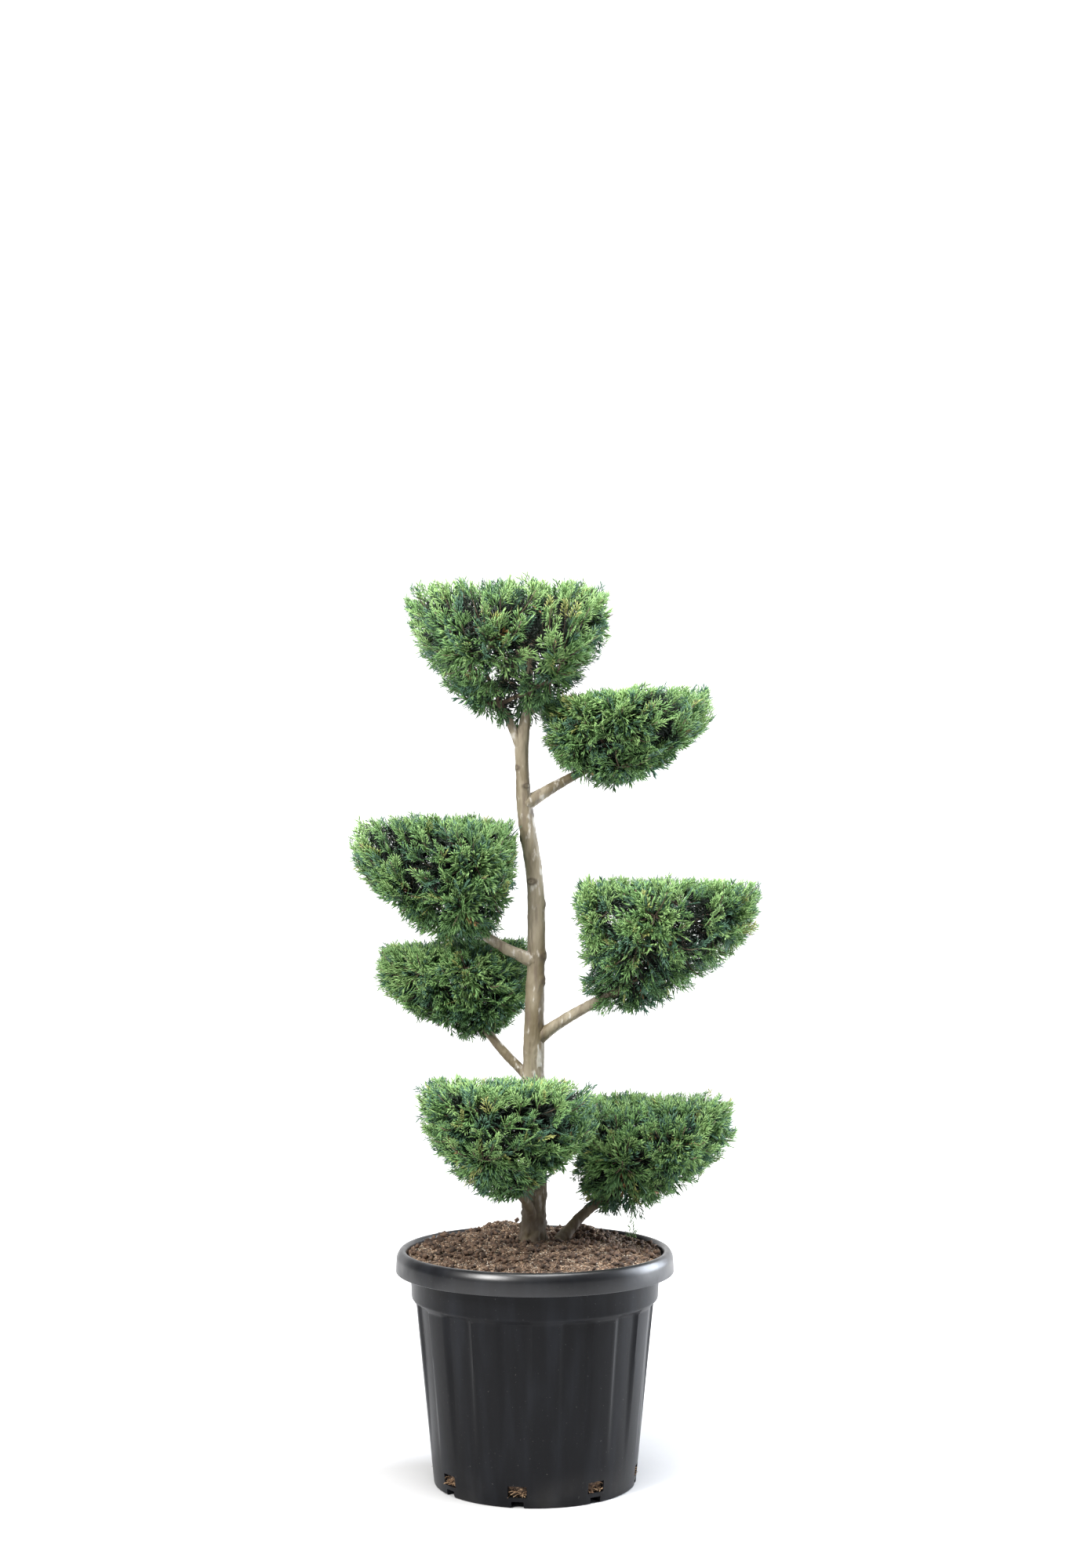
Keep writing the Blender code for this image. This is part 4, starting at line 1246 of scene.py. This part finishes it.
@dataclass
class Pot:
    """The fluted nursery pot, drawn up ring by ring, with drain holes cut through its foot.

    Each of the cuts gives the width, lowest and highest place and nearest and farthest radius.
    """

    finish: bpy.types.Material
    sides: int = 288
    height: float = 0.325
    wall: float = 0.003
    lower_wall: float = 0.0057
    rim_outer: float = 0.1945
    rim_inner: float = 0.1795
    skirt_foot: float = 0.294
    hollow_top: float = 0.312
    band_top: float = 0.1740
    band_foot: float = 0.1722
    band_height: float = 0.2585
    body_height: float = 0.250
    body_top: float = 0.1660
    body_foot: float = 0.1410
    floor: float = 0.012
    flutes: int = 12
    flute_depth: float = 0.0038
    flute_step: float = 0.08
    flute_fade: float = 0.045
    flute_turn: float = math.radians(-1.0)
    cuts: tuple[tuple[float, ...], ...] = (
        (0.026, 0.0140, 0.0295, 0.121, 0.161),
        (0.017, -0.0100, 0.0085, 0.060, 0.161),
    )
    cut_rounding: float = 0.0012

    def body_radius(self, height: float) -> float:
        """The wall's outer radius below the band."""
        return self.body_foot + (self.body_top - self.body_foot) * height / self.body_height

    def rounded(self, corners: Sequence[tuple[float, ...]]) -> list[Triple]:
        """Rounds a section's corners.

        Args:
            corners: radius, height, flute share and rounding of each corner.

        Returns:
            Radius, height and flute share of each ring.
        """
        rings = []
        for i, (r, z, flute, size) in enumerate(corners):
            here = np.array([r, z])
            if size <= 0 or i in (0, len(corners) - 1):
                rings.append((r, z, flute))
                continue
            back, on = (
                here + side / np.linalg.norm(side) * min(size, np.linalg.norm(side) * 0.45)
                for side in (np.array(corners[k][:2]) - here for k in (i - 1, i + 1))
            )
            for t in (0.0, 0.25, 0.5, 0.75, 1.0):
                p = (1 - t) ** 2 * back + 2 * t * (1 - t) * here + t * t * on
                rings.append((float(p[0]), float(p[1]), flute))
        return rings

    def section(self) -> list[Triple]:
        """Draws the section from the underside up the outside, over the rim and down inside.

        Returns:
            Radius, height and flute share of each ring.
        """
        corners = [
            (self.body_foot - 0.004, 0.0, 0.0, 0.0),
            (self.body_foot, 0.0, 0.0, 0.003),
            (self.body_radius(self.flute_fade), self.flute_fade, 0.0, 0.0),
        ]
        for k in range(1, 12):
            z = self.flute_fade + (self.body_height - 0.004 - self.flute_fade) * k / 11
            corners.append((self.body_radius(z), z, min(1.0, 1.25 * (k / 11) ** 0.8), 0.0))
        corners += [
            (self.body_top, self.body_height, 1.0, 0.002),
            (self.band_foot, self.band_height, 0.0, 0.0018),
            (self.band_top, self.skirt_foot, 0.0, 0.0),
            (self.rim_inner + 0.0015, self.hollow_top, 0.0, 0.002),
            (self.rim_outer - 0.005, self.hollow_top, 0.0, 0.002),
            (self.rim_outer - 0.003, self.skirt_foot, 0.0, 0.0008),
            (self.rim_outer, self.skirt_foot, 0.0, 0.0012),
            (self.rim_outer - 0.0010, self.height - 0.010, 0.0, 0.004),
            (self.rim_outer - 0.0055, self.height - 0.0015, 0.0, 0.004),
            (self.rim_inner + 0.004, self.height, 0.0, 0.004),
            (self.rim_inner, self.height - 0.004, 0.0, 0.003),
            (self.rim_inner - 0.0015, self.hollow_top, 0.0, 0.002),
            (self.band_top - self.wall, self.skirt_foot, 0.0, 0.0),
            (self.band_foot - self.wall, self.band_height + 0.006, 0.0, 0.0),
            (self.body_top - self.lower_wall, self.body_height + 0.0015, 0.0, 0.0),
            (self.body_radius(self.floor) - self.lower_wall, self.floor, 0.0, 0.0),
        ]
        return self.rounded(corners)

    def sunk(self, angle: float) -> float:
        """How far the wall is sunk at an angle.

        Args:
            angle: the angle round the pot.

        Returns:
            0 on a rib and 1 in a flute.
        """
        at = (angle - self.flute_turn) / TURN * self.flutes % 1.0
        steps = [min(1.0, max(0.0, (at - start) / self.flute_step)) for start in (0.42, 0.92)]
        down, up = [eased(t) for t in steps]
        return down - up

    def shell(self) -> bpy.types.Object:
        """Extrudes a disc ring by ring into the closed wall, then presses in the flutes.

        Returns:
            The piece.
        """
        rings = self.section()
        bpy.ops.object.select_all(action="DESELECT")
        bpy.ops.mesh.primitive_circle_add(vertices=self.sides, radius=rings[0][0], fill_type="NGON")
        shell = bpy.context.object
        shell.name = "fluted_pot"
        bpy.ops.object.transform_apply(location=True, rotation=True, scale=True)
        bpy.ops.object.mode_set(mode="EDIT")
        bpy.ops.mesh.select_all(action="SELECT")
        for before, after in zip(rings, rings[1:]):
            self.ring_step(before, after)
        bpy.ops.mesh.select_all(action="SELECT")
        bpy.ops.mesh.normals_make_consistent(inside=False)
        bpy.ops.object.mode_set(mode="OBJECT")
        table = {(round(r * 1e5), round(z * 1e5)): flute for r, z, flute in rings}
        for vertex in shell.data.vertices:
            x, y, z = vertex.co
            r = math.hypot(x, y)
            flute = table.get((round(r * 1e5), round(z * 1e5)), 0.0)
            if flute:
                share = 1 - self.flute_depth * flute * self.sunk(math.atan2(y, x)) / r
                vertex.co.x, vertex.co.y = x * share, y * share
        return shell

    def ring_step(self, before: Sequence[float], after: Sequence[float]) -> None:
        """Extrudes the selected disc to the next ring.

        Args:
            before: radius and height of the disc.
            after: radius and height of the next ring.
        """
        bpy.ops.mesh.extrude_region_move(TRANSFORM_OT_translate={"value": (0, 0, after[1] - before[1])})
        share = after[0] / before[0]
        bpy.ops.transform.resize(value=(share, share, 1.0), center_override=(0, 0, after[1]))

    def cut(self, shell: bpy.types.Object) -> None:
        """Cuts the drain holes and the channels under the floor.

        Args:
            shell: the pot's wall.
        """
        for i in range(DRAIN_HOLES):
            turn = DRAIN_TURN - math.pi / 2 + TURN * i / DRAIN_HOLES
            for width, low, high, near, far in self.cuts:
                middle = (near + far) / 2
                place = (middle * math.cos(turn), middle * math.sin(turn), (low + high) / 2)
                bpy.ops.object.select_all(action="DESELECT")
                bpy.ops.mesh.primitive_cube_add(size=1, location=place, rotation=(0, 0, turn))
                cutter = bpy.context.object
                cutter.scale = (far - near, width, high - low)
                bpy.ops.object.transform_apply(location=True, rotation=True, scale=True)
                rounding = cutter.modifiers.new("rounding", "BEVEL")
                rounding.width, rounding.segments = self.cut_rounding, 2
                bpy.ops.object.modifier_apply(modifier="rounding")
                bpy.context.view_layer.objects.active = shell
                hole = shell.modifiers.new("hole", "BOOLEAN")
                hole.operation, hole.solver, hole.object = "DIFFERENCE", "EXACT", cutter
                bpy.ops.object.modifier_apply(modifier="hole")
                bpy.data.objects.remove(cutter, do_unlink=True)

    def build(self) -> None:
        """Builds and dresses the pot."""
        shell = self.shell()
        self.cut(shell)
        bpy.ops.object.select_all(action="DESELECT")
        shell.select_set(True)
        bpy.context.view_layer.objects.active = shell
        bpy.ops.object.shade_smooth_by_angle(angle=math.radians(32))
        shell.data.materials.clear()
        shell.data.materials.append(self.finish)
        dress(shell, "black_plastic", "pot")


# Soil


@dataclass(frozen=True)
class LooseBits:
    """One kind of loose bits on the soil: its share of them all, and the ranges of their sizes."""

    name: str
    share: float
    lengths: Pair
    widths: Pair
    heights: Pair
    finish: Grainy


DARK_CHIP = Grainy("chip_dark", (0.066, 0.043, 0.031), (0.230, 0.152, 0.100), 90.0)
BROWN_CHIP = Grainy("chip_brown", (0.200, 0.128, 0.084), (0.500, 0.350, 0.235), 90.0)
STRAW = Grainy("straw", (0.46, 0.37, 0.27), (0.84, 0.75, 0.62), 70.0)
CLOD = Grainy("clod", (0.034, 0.021, 0.015), (0.150, 0.092, 0.060), 110.0, 0.0020)

LOOSE_BITS = (
    LooseBits("bark_chips_dark", 0.30, (0.003, 0.009), (0.0016, 0.0042), (0.0010, 0.0026), DARK_CHIP),
    LooseBits("bark_chips_brown", 0.42, (0.0025, 0.008), (0.0012, 0.0032), (0.0008, 0.0020), BROWN_CHIP),
    LooseBits("straw_bits", 0.32, (0.0025, 0.0080), (0.0007, 0.0016), (0.0004, 0.0010), STRAW),
    LooseBits("compost_clods", 0.07, (0.006, 0.015), (0.005, 0.011), (0.004, 0.009), CLOD),
)

# The rough eight-sided lump that every loose bit is made from.
BIT_POINTS = ((1, 0, 0), (-1, 0.1, 0), (0.25, 1, 0.1), (-0.2, -1, -0.1), (0.1, 0.2, 1), (-0.1, 0, -1))
BIT_FACES = ((0, 2, 4), (2, 1, 4), (1, 3, 4), (3, 0, 4), (2, 0, 5), (1, 2, 5), (3, 1, 5), (0, 3, 5))


@dataclass
class PottingSoil:
    """The mounded compost with its chips, straw and the fibres in the drain holes.

    The flank gives radius and height of each ring, and a hump its place, height and width.
    """

    finish: bpy.types.Material
    fibre_finish: bpy.types.Material
    sprig_finish: bpy.types.Material
    seat: float = 0.3325
    rise: float = 0.0020
    edge_height: float = 0.3180
    flat_radius: float = 0.050
    full_radius: float = 0.178
    edge_radius: float = 0.1765
    fall_power: float = 1.6
    rings: int = 105
    sides: int = 240
    underside: float = 0.0125
    flank: tuple[Pair, ...] = (
        (0.1768, 0.311), (0.1695, 0.294), (0.1678, 0.2645), (0.1592, 0.2515), (0.1349, 0.0125)
    )
    humps: tuple[tuple[float, ...], ...] = (
        (-0.042, 0.072, 0.017, 0.036),
        (0.072, 0.062, 0.012, 0.032),
        (-0.085, -0.045, 0.004, 0.030),
    )
    bits: int = 10500
    bits_inset: float = 0.002
    most_radius: float = 0.1782
    trunk_place: Pair = (-0.003, 0.003)
    trunk_clear: float = 0.021
    fibres_per_hole: int = 34
    fibre_heights: Pair = (0.0150, 0.0285)
    fibre_half_width: float = 0.0118
    fibre_radii: Pair = (0.00025, 0.0006)
    sprig_place: Pair = (0.1366, 0.060)
    seed: int = 9

    def lump(self, x: float, y: float, layer: float, size: float) -> float:
        """A random lump of the soil's surface.

        Args:
            x: how far to the right.
            y: how far back.
            layer: which layer of lumps.
            size: how far apart they are.

        Returns:
            How high it is there, from about -1 to 1.
        """
        return noise.noise(Vector((x, y, layer)) / size)

    def height(self, x: float, y: float) -> float:
        """The soil's surface.

        Args:
            x: how far to the right.
            y: how far back.

        Returns:
            The height there.
        """
        share = (math.hypot(x, y) - self.flat_radius) / (self.full_radius - self.flat_radius)
        share = max(0.0, min(1.0, share))
        top = self.seat + self.rise
        level = top + (self.edge_height - top) * share**self.fall_power
        free = min(1.0, 4 * share) * min(1.0, 5 * (1 - share))
        for across, back, high, width in self.humps:
            level += high * bell(math.hypot(x - across, y - back) / width) * free
        lump = self.lump(x, y, 0.3, 0.045) + 0.5 * self.lump(x, y, 0.7, 0.02)
        level += (0.0035 * lump + 0.0042 * self.lump(x, y, 1.3, 0.0110)) * free
        return level + 0.0016 * self.lump(x, y, 2.3, 0.0045)

    def ground(self) -> bpy.types.Object:
        """Builds the soil's own surface, flank and underside.

        Returns:
            The piece.
        """
        angles = angles_of(self.sides)
        rows = [(0.0, 0.0, self.height(0.0, 0.0))]
        for i in range(self.rings):
            r = self.edge_radius * (i + 1) / self.rings
            places = [(r * math.cos(a), r * math.sin(a)) for a in angles]
            rows += [(x, y, self.height(x, y)) for x, y in places]
        for r, z in self.flank:
            rows += [(r * math.cos(a), r * math.sin(a), z) for a in angles]
        rows.append((0.0, 0.0, self.underside))
        count = self.rings + len(self.flank)
        a, b = (corner + 1 for corner in grid(count, self.sides))
        quads = np.stack([a, a + self.sides, b + self.sides, b], axis=1)
        k = np.arange(self.sides)
        n = (k + 1) % self.sides
        last = 1 + (count - 1) * self.sides
        top = np.stack([np.zeros(self.sides, int), 1 + k, 1 + n], axis=1)
        under = np.stack([last + n, last + k, np.full(self.sides, len(rows) - 1)], axis=1)
        faces = np.vstack([triangles(quads), top, under])
        return mesh_piece("soil_surface", np.array(rows), faces, [self.finish])

    def scatter(self, kind: LooseBits, rng: np.random.Generator) -> bpy.types.Object:
        """Strews one kind of loose bits over the soil, joined in one piece.

        Args:
            kind: the kind.
            rng: the soil's random numbers.

        Returns:
            The piece.
        """
        parts = []
        for _ in range(int(self.bits * kind.share)):
            r = (self.edge_radius - self.bits_inset) * math.sqrt(rng.uniform(0, 1))
            turn = rng.uniform(0, TURN)
            x, y = r * math.cos(turn), r * math.sin(turn)
            if math.hypot(x - self.trunk_place[0], y - self.trunk_place[1]) < self.trunk_clear:
                continue
            size = np.array([rng.uniform(*span) for span in (kind.lengths, kind.widths, kind.heights)]) / 2
            ahead = direction_of(rng.normal(0, 1, 3) * (1, 1, 0.38))
            side = direction_of(np.cross(rng.normal(0, 0.35, 3) + (0, 0, 1), ahead))
            local = np.array(BIT_POINTS) * rng.uniform(0.75, 1.25, (6, 1)) * size
            level = self.height(x, y) + size[2] * rng.uniform(-0.2, 1.4)
            points = np.array([x, y, level]) + local @ np.stack([ahead, side, np.cross(ahead, side)])
            inside = self.most_radius / np.hypot(points[:, 0], points[:, 1])
            points[:, :2] *= np.minimum(1, inside)[:, None]
            parts.append((points, np.array(BIT_FACES)))
        return mesh_piece(kind.name, *joined(parts), [kind.finish.make()])

    def fibres(self) -> bpy.types.Object:
        """Builds the root fibres that show in the drain holes.

        Returns:
            The piece.
        """
        rng = np.random.default_rng(self.seed + 1)
        parts = []
        for i in range(DRAIN_HOLES):
            turn = DRAIN_TURN - math.pi / 2 + TURN * i / DRAIN_HOLES
            out = np.array([math.cos(turn), math.sin(turn), 0.0])
            side = np.array([-math.sin(turn), math.cos(turn), 0.0])
            for _ in range(self.fibres_per_hole):
                start = out * rng.uniform(0.131, 0.135) + side * rng.uniform(-0.011, 0.011)
                start[2] = rng.uniform(0.0155, 0.0275)
                end = start + out * rng.uniform(0.003, 0.011) + side * rng.normal(0, 0.006)
                end[2] = np.clip(end[2] + rng.normal(-0.001, 0.003), *self.fibre_heights)
                aside = end @ side
                end = end + side * (np.clip(aside, -self.fibre_half_width, self.fibre_half_width) - aside)
                middle = (start + end) / 2 + rng.normal(0, 0.0015, 3)
                r = rng.uniform(*self.fibre_radii)
                row = smooth_line([(*start, r), (*middle, r), (*end, r * 0.5)], 7)
                parts.append(tube(row[:, :3], row[:, 3], 4))
        points, quads = joined(parts)
        return mesh_piece("drain_fibres", points, triangles(quads), [self.fibre_finish])

    def sprig(self, pattern: SprayPattern) -> bpy.types.Object:
        """Builds the small green sprig that stands in the soil near the rim.

        Args:
            pattern: a spray's pattern.

        Returns:
            The piece.
        """
        foot = np.array([*self.sprig_place, self.height(*self.sprig_place) - 0.001])
        parts = []
        for lean, size, turn in ((0.05, 0.036, 0.3), (0.5, 0.020, 1.8), (-0.5, 0.018, 2.6)):
            ahead = direction_of(np.array([math.sin(lean), 0.1, math.cos(lean)]))
            side = direction_of(np.cross(ahead, [0.3 * math.cos(turn), 1.0, 0.2]))
            basis = np.stack([ahead, side * 0.7, np.cross(ahead, side)])
            parts.append((foot + (pattern.points * size) @ basis, pattern.faces))
        return mesh_piece("soil_sprig", *joined(parts), [self.sprig_finish])

    def build(self, pattern: SprayPattern) -> None:
        """Builds and dresses the soil.

        Args:
            pattern: the pattern of the sprig's sprays.
        """
        rng = np.random.default_rng(self.seed)
        pieces = [self.ground(), *(self.scatter(kind, rng) for kind in LOOSE_BITS), self.fibres()]
        for piece in pieces:
            dress(piece, "potting_soil", "potting_soil")
        dress(self.sprig(pattern), "foliage")


# Studio


@dataclass(frozen=True)
class SoftLight:
    """One soft light that faces the plant."""

    name: str
    place: Triple
    size: Pair
    power: float
    colour: Triple
    target: Triple = (0.0, 0.0, 0.7)

    def build(self) -> None:
        """Adds the light to the scene."""
        data = bpy.data.lights.new(self.name, "AREA")
        data.shape = "RECTANGLE"
        data.size, data.size_y = self.size
        data.energy, data.color = self.power, self.colour
        lamp = bpy.data.objects.new(self.name, data)
        bpy.context.scene.collection.objects.link(lamp)
        lamp.location = self.place
        facing = Vector(self.target) - Vector(self.place)
        lamp.rotation_euler = facing.to_track_quat("-Z", "Y").to_euler()


FOCAL_PIXELS = 3185
PHOTO_HEIGHT = 2000
HORIZON_PIXELS = 13
SENSOR = 36

LIGHTS = (
    SoftLight("soft_left", (-2.4, -2.6, 3.0), (1.3, 1.6), 260, (1.0, 0.99, 0.97)),
    SoftLight("soft_right", (2.7, 0.75, 1.1), (1.5, 2.4), 80, (0.90, 0.94, 1.0)),
    SoftLight("low_right", (1.5, 0.55, 0.75), (0.8, 0.8), 24, (0.80, 0.88, 1.0)),
    SoftLight("soft_top", (0.3, -0.6, 3.4), (2.0, 2.0), 190, (1.0, 1.0, 1.0)),
)


@dataclass
class Studio:
    """A pale floor that sweeps up behind, soft lights and the camera."""

    floor_finish: bpy.types.Material
    floor_size: Triple = (16, 14, 1)
    floor_middle: Triple = (0, -3.2, -0.0004)
    back_edge: float = 3.8
    edge_margin: float = 0.1
    bend_radius: float = 2.2
    bend_steps: int = 12
    wall_height: float = 7
    sky: Triple = (0.93, 0.96, 1.0)
    sky_strength: float = 0.15
    seen_strength: float = 1.2
    lens: float = FOCAL_PIXELS * SENSOR / PHOTO_HEIGHT
    eye: Triple = (0.0071, -3.5, 0.96)
    pitch: float = math.degrees(HORIZON_PIXELS / FOCAL_PIXELS)

    def sweep(self) -> None:
        """Builds the floor and the backdrop as one bent sheet."""
        bpy.ops.object.select_all(action="DESELECT")
        bpy.ops.mesh.primitive_plane_add(size=1, location=(0, 0, 0))
        sheet = bpy.context.object
        bpy.ops.object.mode_set(mode="EDIT")
        bpy.ops.mesh.select_all(action="SELECT")
        bpy.ops.transform.resize(value=self.floor_size, center_override=(0, 0, 0))
        bpy.ops.transform.translate(value=self.floor_middle)
        bpy.ops.object.mode_set(mode="OBJECT")
        vertices = sheet.data.vertices
        for vertex in vertices:
            vertex.select = vertex.co.y > self.back_edge - self.edge_margin
        for edge in sheet.data.edges:
            edge.select = all(vertices[number].select for number in edge.vertices)
        for polygon in sheet.data.polygons:
            polygon.select = False
        bpy.ops.object.mode_set(mode="EDIT")
        bpy.ops.mesh.select_mode(type="EDGE")
        turns = [math.radians(90 / self.bend_steps * k) for k in range(self.bend_steps + 1)]
        steps = [(math.sin(b) - math.sin(a), math.cos(a) - math.cos(b)) for a, b in zip(turns, turns[1:])]
        moves = [(0, self.bend_radius * back, self.bend_radius * up) for back, up in steps]
        for move in (*moves, (0, 0, self.wall_height)):
            bpy.ops.mesh.extrude_region_move(TRANSFORM_OT_translate={"value": move})
        bpy.ops.mesh.select_all(action="SELECT")
        bpy.ops.mesh.normals_make_consistent(inside=False)
        bpy.ops.object.mode_set(mode="OBJECT")
        bpy.ops.object.shade_smooth_by_angle(angle=math.radians(30))
        sheet.name = "studio_sweep"
        sheet.data.materials.append(self.floor_finish)

    def white_surround(self, world: bpy.types.World) -> None:
        """Lets the surround look white while it lights the plant only a little.

        Args:
            world: the scene's world.
        """
        tree = world.node_tree
        seen = tree.nodes.new("ShaderNodeBackground")
        seen.inputs["Color"].default_value = (1.0, 1.0, 1.0, 1.0)
        seen.inputs["Strength"].default_value = self.seen_strength
        path = tree.nodes.new("ShaderNodeLightPath")
        choice = tree.nodes.new("ShaderNodeMixShader")
        tree.links.new(path.outputs["Is Camera Ray"], choice.inputs[0])
        tree.links.new(tree.nodes["Background"].outputs[0], choice.inputs[1])
        tree.links.new(seen.outputs[0], choice.inputs[2])
        tree.links.new(choice.outputs[0], tree.nodes["World Output"].inputs["Surface"])

    def build(self) -> None:
        """Builds floor, lights, world and camera."""
        scene = bpy.context.scene
        self.sweep()
        for light in LIGHTS:
            light.build()
        world = bpy.data.worlds.new("studio_world")
        world.use_nodes = True
        background = world.node_tree.nodes["Background"]
        background.inputs["Color"].default_value = (*self.sky, 1.0)
        background.inputs["Strength"].default_value = self.sky_strength
        self.white_surround(world)
        scene.world = world
        lens = bpy.data.cameras.new("photo_camera")
        lens.sensor_width = SENSOR
        lens.lens = self.lens
        camera = bpy.data.objects.new("photo_camera", lens)
        scene.collection.objects.link(camera)
        camera.location = self.eye
        camera.rotation_euler = (math.radians(90 + self.pitch), 0, 0)
        scene.camera = camera
        scene.view_settings.view_transform = "Standard"


def main() -> None:
    """Builds every sub-assembly."""
    logging.basicConfig(level=logging.INFO, format="%(message)s")
    twig = Grainy("twig_bark", (0.060, 0.042, 0.028), (0.170, 0.125, 0.085), 60.0, 0.0006).make()
    soil = Grainy("moist_compost", (0.042, 0.028, 0.020), (0.200, 0.130, 0.086), 150.0, 0.0018).make()
    fibre = Grainy("root_fibre", (0.180, 0.095, 0.050), (0.560, 0.380, 0.230), 80.0).make()
    leaves = [tone.make() for tone in LeafTone]
    patterns = [SprayPattern(seed) for seed in (21, 22, 23, 24, 25)]
    patterns += [SprayPattern(seed, laterals=5, forked=0, half_width=0.042) for seed in (31, 32)]
    Studio(PaleSweep().make()).build()
    Pot(PotPlastic().make()).build()
    PottingSoil(soil, fibre, leaves[0]).build(patterns[0])
    Limbs(Bark().make()).build()
    for shape in PADS:
        Pad(shape, patterns, twig, leaves).build()
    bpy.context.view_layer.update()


if __name__ == "__main__":
    main()
